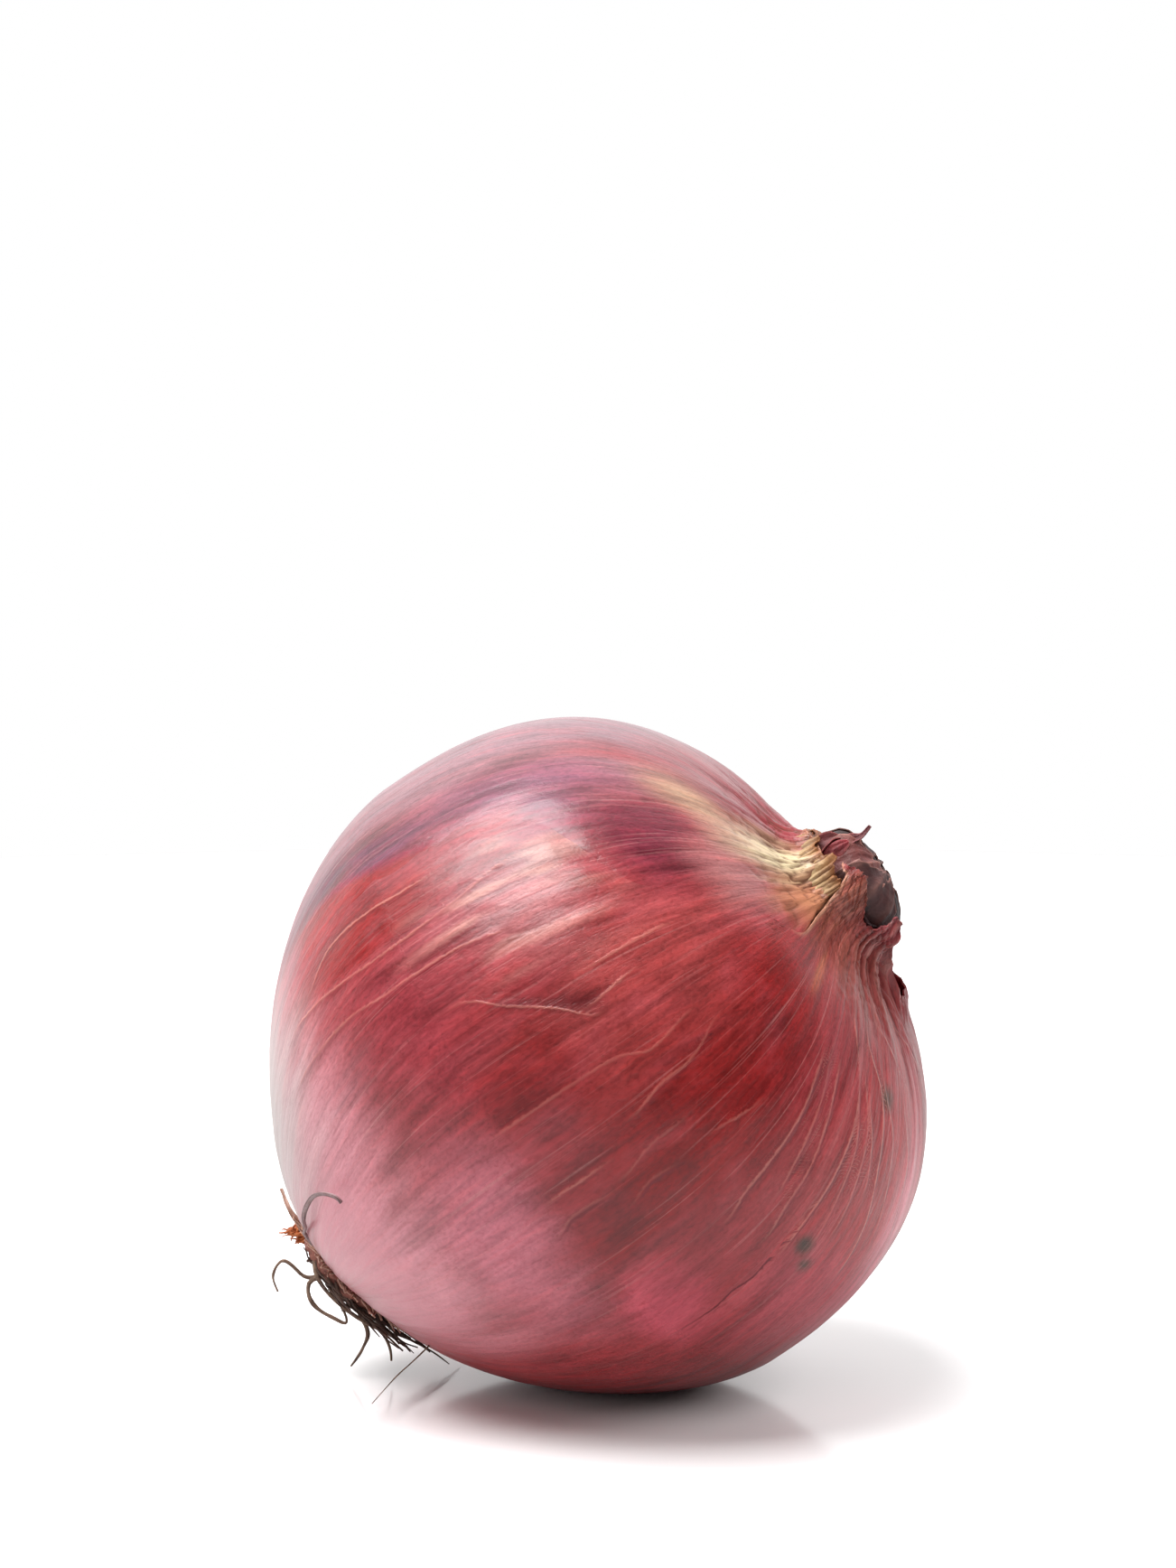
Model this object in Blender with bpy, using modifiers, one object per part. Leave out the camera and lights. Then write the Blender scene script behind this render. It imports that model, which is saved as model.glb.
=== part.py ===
"""Red onion with dry skin, lying on its side with its neck up and its roots down.

Units are metres and +Z is up. The origin is the middle of the small flat spot that the
onion rests on. Every piece is shaped upright, in the onion's own frame: its axis is +Z, the
roots are below and the neck is above. lay_down() then tips it over. Longitude runs round
the axis, with 0 on the side that ends up on top and 90 toward the front. Latitude runs from
-90 at the roots over 0 at the widest place to SHOULDER, and from there up the neck.
"""
import math
import random

import bmesh
import bpy
from mathutils import Matrix, Vector

MM = 0.001

# The bulb's outline: a rounded top and a slightly pointed root end.
EQUATOR = 40.0 * MM
ROOT_REACH = 38.3 * MM
ROOT_POWER = 1.71
NECK_REACH = 35.4 * MM
NECK_POWER = 2.45
ROOT_OFFSET = 4.5 * MM

# The neck: a sweep from the shoulder into a short upright stub.
SHOULDER = 74.0
NECK_FOOT = 90.0
NECK_RADIUS = 8.4 * MM
NECK_SWEEP = ((14.0, 34.3), (9.5, 35.2), (8.5, 36.2), (8.4, 38.3))
NECK_RISE_PER_DEGREE = 0.25 * MM
NECK_END = 38.8 * MM
CUP_RADIUS = 6.3 * MM
CUP_FLOOR = 36.0 * MM

# How it lies: the direction of its axis, and its widest circle's centre above the floor.
AXIS = Vector((0.798, -0.173, 0.577)).normalized()
CENTRE = Vector((-3.6, 1.52, 37.05)) * MM

# The dry outer skin, and the room that the pieces leave each other.
SKIN_THICKNESS = 0.65 * MM
GAP = 0.35 * MM
SKIN_STEP = 0.35 * MM
BLADE = 0.6 * MM

# Torn edges of the outer skin, as (latitude, longitude) on its two sides.
NEAR_EDGE = ((-72, 26), (-40, 35), (-15, 40), (25, 43), (39, 63), (57, 76), (66, 93),
             (74, 94), (88, 79), (98, 71))
FAR_EDGE = ((-72, 318), (-45, 304), (-20, 296), (5, 300), (30, 291), (52, 279),
            (68, 264), (84, 262), (98, 268))

# Its ragged ends, as (longitude, latitude): round the neck, and round the roots.
NECK_EDGE = ((70, 98), (80, 102), (94, 101), (106, 97), (117, 94), (124, 94), (133, 97),
             (148, 98), (160, 94), (172, 89), (180, 79), (188, 75), (204, 74), (213, 79),
             (223, 90), (242, 93), (268, 89))
ROOT_EDGE = -72.0
ROOT_FRAY = 1.6
TEAR_WAVE = 1.1

# Low relief that the bulb and the skin share.
PLEATS = 12
PLEAT_DEPTH = 0.3 * MM
DENT_DEPTH = 0.5 * MM
DENT_PLACE = (77.0, 15.0)
DENT_SIZE = (9.0, 5.0)
LIP_FLARE = 0.6 * MM
LIP_PLACE = (152.0, 28.0)

# The root plate, and the roots that grow from it.
PAD_CUT = 1.6 * MM
PLATE_RADIUS = 7.6 * MM
PLATE_SWELL = 2.2 * MM
ROOT_WIDTH = 0.85 * MM
FRINGE_SHREDS = 9
SMALL_ROOTS = 24
LOWEST_ROOT = 1.1 * MM
LOWEST_SHRED = 2.2 * MM

# Lattice of the modelled surfaces.
BULB_COLUMNS = 60
SKIN_COLUMNS = 44
SKIN_ROWS = 32


def blend(low, high, value):
    """Zero below low, one above high, and a smooth step between."""
    share = min(max((value - low) / (high - low), 0.0), 1.0)
    return share * share * (3.0 - 2.0 * share)


def mix(first, last, share):
    return first + (last - first) * share


def through(points, place):
    """The value at a place on one smooth line through (place, value) points."""
    if place <= points[0][0]:
        return points[0][1]
    if place >= points[-1][0]:
        return points[-1][1]
    right = next(i for i, point in enumerate(points) if point[0] > place)
    left = right - 1

    def slope(index):
        if index in (0, len(points) - 1):
            return 0.0
        before, after = points[index - 1], points[index + 1]
        return (after[1] - before[1]) / (after[0] - before[0])

    span = points[right][0] - points[left][0]
    t = (place - points[left][0]) / span
    start = (2 * t ** 3 - 3 * t ** 2 + 1) * points[left][1]
    start += (t ** 3 - 2 * t ** 2 + t) * span * slope(left)
    end = (3 * t ** 2 - 2 * t ** 3) * points[right][1]
    end += (t ** 3 - t ** 2) * span * slope(right)
    return start + end


def near_edge(latitude):
    ripple = math.sin(0.31 * latitude) + 0.6 * math.sin(0.83 * latitude + 1.0)
    return through(NEAR_EDGE, latitude) + 0.5 * TEAR_WAVE * ripple


def far_edge(latitude):
    ripple = math.sin(0.27 * latitude + 2.0) + 0.7 * math.sin(0.71 * latitude)
    return through(FAR_EDGE, latitude) + 2.0 * TEAR_WAVE * ripple


def root_edge(longitude):
    return ROOT_EDGE + ROOT_FRAY * math.sin(math.radians(11 * longitude))


def outline(latitude):
    """Radius and height of the onion's outline, up to the shoulder and on up the neck."""
    if latitude <= SHOULDER:
        low = latitude < 0
        reach, power = (ROOT_REACH, ROOT_POWER) if low else (NECK_REACH, NECK_POWER)
        angle = math.radians(latitude)
        radius = EQUATOR * abs(math.cos(angle)) ** (2 / power)
        height = math.copysign(reach * abs(math.sin(angle)) ** (2 / power), latitude)
        return radius, height
    t = min((latitude - SHOULDER) / (NECK_FOOT - SHOULDER), 1.0)
    weights = ((1 - t) ** 3, 3 * t * (1 - t) ** 2, 3 * t * t * (1 - t), t ** 3)
    radius = sum(w * p[0] for w, p in zip(weights, NECK_SWEEP)) * MM
    height = sum(w * p[1] for w, p in zip(weights, NECK_SWEEP)) * MM
    return radius, height + max(latitude - NECK_FOOT, 0.0) * NECK_RISE_PER_DEGREE


def latitude_at(height):
    """The latitude whose outline has this height, found by halving."""
    low, high = -90.0, 110.0
    for _ in range(30):
        middle = (low + high) / 2
        if outline(middle)[1] < height:
            low = middle
        else:
            high = middle
    return low


def surface(longitude, latitude):
    """A point on the smooth outer surface. Growth lines meet beside the axis at the roots."""
    radius, height = outline(latitude)
    angle = math.radians(longitude)
    x, y = radius * math.cos(angle), radius * math.sin(angle)
    if latitude < 0:
        x -= ROOT_OFFSET * (1 - (radius / EQUATOR) ** 2)
        share = min(math.hypot(x, y) / EQUATOR, 1.0)
        height = -ROOT_REACH * (1 - share ** ROOT_POWER) ** (1 / ROOT_POWER)
    return Vector((x, y, height))


def relief(longitude, latitude):
    """Pleats that gather toward the neck, and one shallow dent in the front."""
    angle = math.radians(longitude)
    gather = blend(52, 84, latitude)
    pleats = gather * PLEAT_DEPTH * math.cos(PLEATS * angle + 1.5 * math.sin(2 * angle))
    across = (longitude - DENT_PLACE[0]) / DENT_SIZE[0]
    along = (latitude - DENT_PLACE[1]) / DENT_SIZE[1]
    return pleats - DENT_DEPTH * math.exp(-across ** 2 - along ** 2)


def lip_flare(longitude, latitude):
    """The skin's lip stands off the neck on one side."""
    across = (longitude - LIP_PLACE[0]) / LIP_PLACE[1]
    return LIP_FLARE * blend(91, 98, latitude) * math.exp(-across ** 2)


def lifted(longitude, latitude, lift):
    """A point above the smooth surface by lift, with the shared relief."""
    east = surface(longitude + 1, latitude) - surface(longitude - 1, latitude)
    north = surface(longitude, latitude + 0.4) - surface(longitude, latitude - 0.4)
    outward = east.cross(north).normalized()
    return surface(longitude, latitude) + outward * (lift + relief(longitude, latitude))


def covered(longitude, latitude):
    """One where the outer skin lies over the bulb, zero where the bulb shows."""
    side = 1 - blend(7, 15, near_edge(latitude) - longitude)
    side *= 1 - blend(7, 15, longitude - far_edge(latitude))
    over = latitude - through(NECK_EDGE, longitude)
    return side * (1 - blend(4, 9, over))


def tipped():
    """The turn and shift that lay the upright onion down."""
    up = Vector((0, 0, 1))
    top_side = (up - AXIS * AXIS.z).normalized()
    front_side = AXIS.cross(top_side)
    turn = Matrix((top_side, front_side, AXIS)).transposed().to_4x4()
    return Matrix.Translation(CENTRE) @ turn


def pad_frame():
    """The root plate's own frame: +Z out of the roots, +X down the slope, +Y forward."""
    place = surface(0, -90)
    outward = (place - surface(0, -89)).cross(surface(90, -89) - place).normalized()
    if outward.z > 0:
        outward = -outward
    forward = Vector((0, 1, 0))
    down = forward.cross(outward).normalized()
    turn = Matrix((down, outward.cross(down), outward)).transposed().to_4x4()
    return Matrix.Translation(place) @ turn


def new_collection(name):
    group = bpy.data.collections.new(name)
    bpy.context.scene.collection.children.link(group)
    return group


def add_object(name, mesh, group):
    piece = bpy.data.objects.new(name, mesh)
    group.objects.link(piece)
    return piece


def settled(piece):
    """Replaces a piece's mesh or curve by the mesh that its modifiers give."""
    bpy.context.view_layer.update()
    graph = bpy.context.evaluated_depsgraph_get()
    mesh = bpy.data.meshes.new_from_object(piece.evaluated_get(graph))
    name, group = piece.name, piece.users_collection[0]
    bpy.data.objects.remove(piece)
    mesh.name = name
    return add_object(name, mesh, group)


def turned(name, profile, steps, group):
    """A closed turned body from (radius, height) points that run down its outer side."""
    mesh = bpy.data.meshes.new(name)
    bm = bmesh.new()
    corners = [bm.verts.new((radius, 0, height)) for radius, height in profile]
    for first, second in zip(corners, corners[1:]):
        bm.edges.new((first, second))
    bm.to_mesh(mesh)
    bm.free()
    piece = add_object(name, mesh, group)
    screw = piece.modifiers.new("turn", "SCREW")
    screw.steps = steps
    screw.render_steps = steps
    screw.use_merge_vertices = True
    screw.merge_threshold = 0.00001
    return settled(piece)


def heading(points, index):
    """The direction of a line through points at one of them."""
    return (points[min(index + 1, len(points) - 1)] - points[max(index - 1, 0)]).normalized()


def strip(name, points, widths, sides, thickness, group):
    """A tapered leaf-like strip along points, widened toward each one's side, with a wall."""
    mesh = bpy.data.meshes.new(name)
    bm = bmesh.new()
    bmesh.ops.create_grid(bm, x_segments=2, y_segments=len(points) - 1, size=1.0)
    bm.verts.ensure_lookup_table()
    for index, corner in enumerate(bm.verts):
        row, column = divmod(index, 3)
        sag = 0.12 * widths[row] if column == 1 else 0.0
        spread = sides[row] * ((column - 1) * widths[row] / 2)
        corner.co = points[row] + spread + heading(points, row).cross(sides[row]) * sag
    bmesh.ops.triangulate(bm, faces=bm.faces[:])
    bm.to_mesh(mesh)
    bm.free()
    piece = add_object(name, mesh, group)
    wall = piece.modifiers.new("wall", "SOLIDIFY")
    wall.thickness = thickness
    wall.offset = 0.0
    return settled(piece)


def lump(name, place, radius, group):
    mesh = bpy.data.meshes.new(name)
    bm = bmesh.new()
    bmesh.ops.create_icosphere(bm, subdivisions=2, radius=radius)
    bmesh.ops.translate(bm, verts=bm.verts[:], vec=place)
    bm.to_mesh(mesh)
    bm.free()
    return add_object(name, mesh, group)


def thread(name, points, width, group):
    """A root: a tube along points that thins toward its tip."""
    curve = bpy.data.curves.new(name, "CURVE")
    curve.dimensions = "3D"
    curve.bevel_depth = width / 2
    curve.bevel_resolution = 0
    curve.use_fill_caps = True
    spline = curve.splines.new("POLY")
    spline.points.add(len(points) - 1)
    for index, (corner, point) in enumerate(zip(spline.points, points)):
        corner.co = (*point, 1.0)
        corner.radius = 1.0 - 0.35 * index / (len(points) - 1)
    piece = settled(add_object(name, curve, group))
    bm = bmesh.new()
    bm.from_mesh(piece.data)
    bmesh.ops.remove_doubles(bm, verts=bm.verts[:], dist=0.000001)
    bm.to_mesh(piece.data)
    bm.free()
    bpy.data.curves.remove(curve)
    return piece


def join_growth(body, growth):
    """Unites a body with everything in a collection, and removes the collection."""
    union = body.modifiers.new("growth", "BOOLEAN")
    union.operation = "UNION"
    union.operand_type = "COLLECTION"
    union.collection = growth
    union.solver = "EXACT"
    joined = settled(body)
    for piece in list(growth.objects):
        bpy.data.objects.remove(piece)
    bpy.data.collections.remove(growth)
    return joined


def lay_down(piece):
    piece.data.transform(tipped())


def press_on_floor(piece, floor, first=0):
    """Flattens whatever would reach below a height."""
    for corner in piece.data.vertices[first:]:
        corner.co.z = max(corner.co.z, floor)


def bulb_profile():
    """Outer side from the neck's rim down to the roots, after the cup in the neck's end."""
    cup = [(0.0, CUP_FLOOR), (CUP_RADIUS - 0.4 * MM, CUP_FLOOR), (CUP_RADIUS, NECK_END)]
    neck = [outline(NECK_FOOT - step * 2.3) for step in range(7)]
    rim = [(CUP_RADIUS + 0.8 * MM, NECK_END + 0.2 * MM), (NECK_RADIUS, NECK_END - 0.1 * MM)]
    rows = 29
    body = [outline(mix(SHOULDER - 1, -88, row / rows)) for row in range(rows + 1)]
    return cup + rim + neck + body + [(0.0, -ROOT_REACH)]


def make_bulb(group):
    bulb = turned("bulb", bulb_profile(), BULB_COLUMNS, group)
    pad = pad_frame()
    pad_inverse = pad.inverted()
    for corner in bulb.data.vertices:
        radius = math.hypot(corner.co.x, corner.co.y)
        if corner.co.z > CUP_FLOOR - MM / 2 and radius < CUP_RADIUS + MM:
            continue
        longitude = math.degrees(math.atan2(corner.co.y, corner.co.x)) % 360
        latitude = latitude_at(corner.co.z)
        sink = mix(SKIN_STEP, SKIN_THICKNESS + GAP, covered(longitude, latitude))
        if radius < MM:
            corner.co = surface(0, -90)
        else:
            corner.co = lifted(longitude, latitude, -sink)
        on_pad = pad_inverse @ corner.co
        on_pad.z = min(on_pad.z, -PAD_CUT)
        corner.co = pad @ on_pad
    lay_down(bulb)
    press_on_floor(bulb, SKIN_THICKNESS + GAP)
    return bulb


def skin_place(across, up):
    """Longitude and latitude at shares of the way across and up the torn skin."""
    share = 1.2 * up - 0.2 * up * up
    level = mix(ROOT_EDGE, NECK_EDGE[0][1], share)
    longitude = mix(near_edge(level), far_edge(level), across)
    return longitude, mix(root_edge(longitude), through(NECK_EDGE, longitude), share)


def make_outer_skin(group):
    mesh = bpy.data.meshes.new("outer_skin")
    bm = bmesh.new()
    bmesh.ops.create_grid(bm, x_segments=SKIN_COLUMNS, y_segments=SKIN_ROWS, size=0.5)
    for corner in bm.verts:
        longitude, latitude = skin_place(corner.co.x + 0.5, corner.co.y + 0.5)
        corner.co = lifted(longitude, latitude, lip_flare(longitude, latitude))
    bmesh.ops.triangulate(bm, faces=bm.faces[:])
    bm.to_mesh(mesh)
    bm.free()
    skin = add_object("outer_skin", mesh, group)
    outer_corners = len(mesh.vertices)
    wall = skin.modifiers.new("wall", "SOLIDIFY")
    wall.thickness = SKIN_THICKNESS
    wall.offset = -1.0
    skin = settled(skin)
    lay_down(skin)
    press_on_floor(skin, 0.0)
    press_on_floor(skin, SKIN_THICKNESS, first=outer_corners)
    return skin


def make_neck_sheath(group):
    """Dead leaf ends folded over the neck's opening, with a curled lobe and a spike."""
    foot = CUP_RADIUS - GAP - 0.4 * MM
    profile = [(0.0, 41.6), (2.2, 41.5), (4.2, 41.1), (5.5, 40.5), (6.3, 39.9), (6.6, 39.35)]
    profile = [(radius * MM, height * MM) for radius, height in profile]
    profile += [(foot, NECK_END - 0.6 * MM), (foot - 0.4 * MM, CUP_FLOOR + GAP)]
    profile += [(0.0, CUP_FLOOR + GAP)]
    hood = turned("neck_sheath", profile, 28, group)
    for corner in hood.data.vertices:
        open_air = blend(NECK_END + 0.3 * MM, NECK_END + 1.8 * MM, corner.co.z)
        slant = 0.8 * corner.co.x - 0.6 * corner.co.y
        corner.co.z += open_air * 0.3 * MM * math.sin(slant / (0.75 * MM))
        corner.co.z += open_air * (0.04 * corner.co.x + 0.12 * (corner.co.y + 5 * MM))
        angle = math.atan2(corner.co.y, corner.co.x)
        pinch = 1 + open_air * 0.06 * math.cos(5 * angle + 1.0)
        corner.co.x *= pinch
        corner.co.y *= pinch
    growth = new_collection("leaf_ends")
    spike = [(4.2, 3.2, 40.2), (4.7, 3.0, 41.8), (4.5, 2.6, 43.2), (4.9, 2.5, 44.6)]
    spike = [Vector(point) * MM for point in spike]
    tapers = [2.4 * MM, 2.0 * MM, 1.2 * MM, 0.5 * MM]
    strip("spike", spike, tapers, [Vector((0.7, -0.7, 0))] * 4, BLADE, growth)
    lobe = [(4.0, 3.2, 39.7), (5.3, 3.8, 40.3), (5.9, 3.9, 41.1), (5.4, 3.5, 41.8)]
    lobe = [Vector(point) * MM for point in lobe]
    tapers = [2.0 * MM, 3.2 * MM, 2.8 * MM, 1.4 * MM]
    strip("lobe", lobe, tapers, [Vector((-0.7, 0.7, 0))] * 4, BLADE, growth)
    hood = join_growth(hood, growth)
    lay_down(hood)
    return hood


def named_roots():
    """Routes of the longest roots on the plate, in mm: down the slope, forward, outward."""
    curl = [(-1.5, 3, 0.8), (-2.2, 3.5, 2.4), (-3.2, 4, 3.3), (-5.1, 4.3, 3.1),
            (-6.4, 4.5, 3.3), (-6.5, 4.6, 4.3), (-6.1, 4.7, 5.4), (-5.5, 4.8, 6.0),
            (-4.2, 4.8, 6.5)]
    loop = [(-1.2, 4, 0.8), (-2.7, 4.6, 2.5), (-1.7, 5, 3.9), (-0.3, 5.2, 4.4),
            (1.1, 5.2, 4.3), (2.6, 5.1, 3.8), (4.3, 5, 3.3), (3.6, 4.6, 2.7), (2.0, 4.2, 2.4),
            (0.5, 4, 1.8)]
    hook = [(3.0, 3.5, 0.4), (4.4, 4, 1.7), (5.9, 4.4, 1.8), (7.0, 4.5, 2.5),
            (7.4, 4.6, 3.7), (7.8, 4.7, 4.9), (8.0, 4.7, 6.6)]
    spur = [(5.0, 2, 0.2), (6.4, 2.5, 1.4), (8.6, 3, 1.7), (10.1, 3.2, 2.3),
            (10.9, 3.3, 3.1)]
    bundle = [(-4.2, 5, -0.2), (-3.0, 5.9, 1.2), (0.3, 6.2, 1.9), (4.4, 5.7, 1.6),
              (7.8, 4.6, 0.9), (9.8, 3.8, 0.4)]
    return {"curl": curl, "loop": loop, "hook": hook, "spur": spur, "bundle": bundle}


def named_shreds():
    """Routes of the two longest shreds over the skin: longitude, latitude, lift in mm."""
    ribbon = [(62, -66, 0.7), (68, -59, 1.2), (71, -53, 1.9), (74, -47, 2.5), (77.5, -42.5, 2.6),
              (82, -41, 2.1), (86, -42.5, 1.4)]
    peak = [(30, -74, 0.7), (24, -72, 1.2), (16, -70, 1.6), (10, -67, 2.1)]
    return {"ribbon": ribbon, "peak": peak}


def small_root(index, draw):
    """A short wiry root that leaves the plate, and bends down the slope over its swelling."""
    angle = math.radians(137.5 * index)
    start = PLATE_RADIUS * 0.85 * math.sqrt((index + 0.5) / SMALL_ROOTS)
    sunk = PLATE_SWELL * (1 - (start / PLATE_RADIUS) ** 2) - 0.9 * MM
    place = Vector((start * math.cos(angle), start * math.sin(angle), sunk))
    course = Vector((math.cos(angle), math.sin(angle), 0)) * 0.5
    course += Vector((draw.uniform(0.4, 1.5), draw.uniform(-0.5, 0.5), 0))
    points = [place]
    for step in range(1, 7):
        rise = max(1.7 - 0.5 * step, -0.5) + draw.uniform(-0.2, 0.2)
        course += Vector((draw.uniform(-0.3, 0.3), draw.uniform(-0.3, 0.3), 0))
        place = place + (course * 0.8 + Vector((0, 0, rise))) * MM
        away = math.hypot(place.x, place.y)
        lowest = mix(PLATE_SWELL + 0.6 * MM, 0.9 * MM, blend(1 * MM, 8 * MM, away))
        place.z = max(place.z, lowest)
        points.append(place)
    return points


def above_floor(point, lowest):
    """The point, raised if it would lie lower than that once the onion is laid down."""
    low = tipped() @ point
    low.z = max(low.z, lowest)
    return tipped().inverted() @ low


def shred(name, pad, route, width, group):
    """A torn strip from the plate's rim out over the skin, along (longitude, latitude, lift)."""
    angle = math.radians(route[0][0])
    rim = Vector((-math.cos(angle), math.sin(angle), 0)) * MM
    points = [pad @ (rim * 5.6), pad @ (rim * 8.0)]
    outward = [pad.to_3x3() @ Vector((0, 0, 1))] * 2
    for place, level, lift in route:
        points.append(above_floor(lifted(place, level, BLADE + lift * MM), LOWEST_SHRED))
        outward.append(surface(place, level))
    sides = [heading(points, i).cross(out).normalized() for i, out in enumerate(outward)]
    widths = [mix(width, 0.35 * width, index / (len(points) - 1)) for index in range(len(points))]
    strip(name, points, widths, sides, BLADE, group)


def make_root_tuft(group):
    """The dry root plate with a fringe of torn shreds and wiry roots."""
    pad = pad_frame()
    foot = GAP - PAD_CUT
    profile = [(0.0, PLATE_SWELL), (2.4 * MM, 0.95 * PLATE_SWELL), (4.8 * MM, 0.6 * PLATE_SWELL)]
    profile += [(6.6 * MM, 0.5 * MM), (PLATE_RADIUS, -0.6 * MM), (PLATE_RADIUS - 0.4 * MM, foot)]
    tuft = turned("root_tuft", profile + [(0.0, foot)], 20, group)
    tuft.data.transform(pad)
    growth = new_collection("roots")
    draw = random.Random(11)
    for index in range(FRINGE_SHREDS):
        longitude = 360 * (index + draw.uniform(-0.35, 0.35)) / FRINGE_SHREDS
        drift = longitude + draw.uniform(-12, 12)
        route = [(longitude, ROOT_EDGE - 3.0, 0.4), (drift, ROOT_EDGE + draw.uniform(-2, 1), 0.7)]
        shred("shred", pad, route, draw.uniform(1.4, 3.0) * MM, growth)
    for name, route in named_shreds().items():
        shred(name, pad, route, 1.9 * MM, growth)
    lump("lump", pad @ (Vector((-7.4, 1.2, 0.4)) * MM), 1.5 * MM, growth)
    routes = [[Vector(point) * MM for point in route] for route in named_roots().values()]
    routes += [small_root(index, draw) for index in range(SMALL_ROOTS)]
    for index, route in enumerate(routes):
        lowest = LOWEST_ROOT + 0.09 * MM * (index % 7)
        thread("root", [above_floor(pad @ point, lowest) for point in route], ROOT_WIDTH, growth)
    for piece in growth.objects:
        lay_down(piece)
    lay_down(tuft)
    return join_growth(tuft, growth)


def finish(piece, name, colour, roughness):
    """Names the piece and gives it its own material and smooth shading."""
    piece.name = name
    material = bpy.data.materials.new(name)
    material.use_nodes = True
    shader = material.node_tree.nodes["Principled BSDF"]
    shader.inputs["Base Color"].default_value = (*colour, 1.0)
    shader.inputs["Roughness"].default_value = roughness
    shader.inputs["Metallic"].default_value = 0.0
    piece.data.materials.clear()
    piece.data.materials.append(material)
    piece.data.shade_smooth()
    piece.data.set_sharp_from_angle(angle=math.radians(50))


def main():
    for old in list(bpy.data.objects):
        bpy.data.objects.remove(old)
    onion = new_collection("red_onion")
    finish(make_bulb(onion), "bulb", (0.42, 0.10, 0.20), 0.35)
    finish(make_outer_skin(onion), "outer_skin", (0.38, 0.03, 0.04), 0.45)
    finish(make_neck_sheath(onion), "neck_sheath", (0.09, 0.03, 0.03), 0.7)
    finish(make_root_tuft(onion), "root_tuft", (0.16, 0.08, 0.05), 0.8)


main()
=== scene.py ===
# %% [markdown]
# # Dressing a red onion
# A red onion is a round bulb of moist scales in a dry, thin coat. The coat is torn over the
# top, so a glossy lilac scale shows there. It is gathered into pleats round the neck, where
# dead leaf ends close the bulb. At the other end dry roots grow from a small woody plate.
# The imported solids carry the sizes. This lesson makes a finer skin for each of them.

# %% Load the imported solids
import math

import bmesh
import bpy
import numpy as np
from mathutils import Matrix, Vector


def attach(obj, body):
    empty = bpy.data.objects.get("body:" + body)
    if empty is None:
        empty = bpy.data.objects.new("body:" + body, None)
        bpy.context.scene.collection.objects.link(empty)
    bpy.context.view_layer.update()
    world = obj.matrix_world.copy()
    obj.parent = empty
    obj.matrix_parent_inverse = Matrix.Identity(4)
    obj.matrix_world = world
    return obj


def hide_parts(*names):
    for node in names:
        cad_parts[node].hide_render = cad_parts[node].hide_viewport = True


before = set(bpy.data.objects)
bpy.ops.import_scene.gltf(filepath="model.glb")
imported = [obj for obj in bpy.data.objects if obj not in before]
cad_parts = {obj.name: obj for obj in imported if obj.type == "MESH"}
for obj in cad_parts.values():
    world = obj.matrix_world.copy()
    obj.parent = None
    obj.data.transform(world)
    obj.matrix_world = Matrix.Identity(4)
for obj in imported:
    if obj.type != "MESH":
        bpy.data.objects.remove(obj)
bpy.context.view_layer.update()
print("solids:", sorted(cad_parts))

# %% [markdown]
# ## Working upright
# The onion lies on its side, which is an awkward place to shape it. Every piece is shaped
# upright instead, in millimetres, with the neck at the top, and laid down at the end. A
# place on it is a longitude round the axis and a latitude from the roots to the neck, as on
# a globe. Longitude 0 ends up on top, 90 faces the viewer.

# %% Its axes, and how it is laid down
MM = 0.001
AXIS = np.array((0.798, -0.173, 0.577))
AXIS = AXIS / np.linalg.norm(AXIS)
TOP = np.array((0.0, 0.0, 1.0)) - AXIS * AXIS[2]
TOP = TOP / np.linalg.norm(TOP)
FRONT = np.cross(AXIS, TOP)
CENTRE = np.array((-3.6, 1.52, 37.05))
# radius at the waist, and how far a degree of latitude reaches, in mm
EQUATOR, MM_PER_DEGREE = 40.0, 0.66


def laid_down(points):
    """World metres for upright millimetres."""
    turned = points[..., :1] * TOP + points[..., 1:2] * FRONT + points[..., 2:] * AXIS
    return (turned + CENTRE) * MM


print("axis", np.round(AXIS, 3), "centre", CENTRE)

# %% Steps, mixes and one smooth line through points
def blend(low, high, value):
    """A smooth step from 0 at the low value to 1 at the high one."""
    share = np.clip((np.asarray(value, float) - low) / (high - low), 0, 1)
    return share * share * (3 - 2 * share)


def mix(first, last, share):
    """The value at a share of the way from the first to the last."""
    return first + (last - first) * share


def hump(value, middle, width):
    """One at the middle, sinking smoothly to zero on both sides."""
    return np.exp(-((value - middle) / width) ** 2)


def through(points, place):
    """Values on one smooth line through (place, value) points, for an array of places."""
    places, values = np.array(points, float).T
    slopes = np.zeros(len(places))
    slopes[1:-1] = (values[2:] - values[:-2]) / (places[2:] - places[:-2])
    left = np.clip(np.searchsorted(places, place, side="right") - 1, 0, len(places) - 2)
    span = places[left + 1] - places[left]
    t = np.clip((place - places[left]) / span, 0, 1)
    start = (2 * t ** 3 - 3 * t ** 2 + 1) * values[left]
    start += (t ** 3 - 2 * t ** 2 + t) * span * slopes[left]
    end = (3 * t ** 2 - 2 * t ** 3) * values[left + 1]
    return start + end + (t ** 3 - t ** 2) * span * slopes[left + 1]


print("halfway through a step:", float(blend(0, 1, 0.5)))

# %% [markdown]
# ## Chance, the same each time
# Nothing that grew is even. A lattice of seeded random numbers, read with a smooth step
# between its points, gives soft lumps of any size. Stretching the places along a meridian
# turns the lumps into the streaks and fibres of a skin.

# %% Smooth seeded noise
LATTICE = np.random.default_rng(7).uniform(-1, 1, (32, 32, 32))


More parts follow.
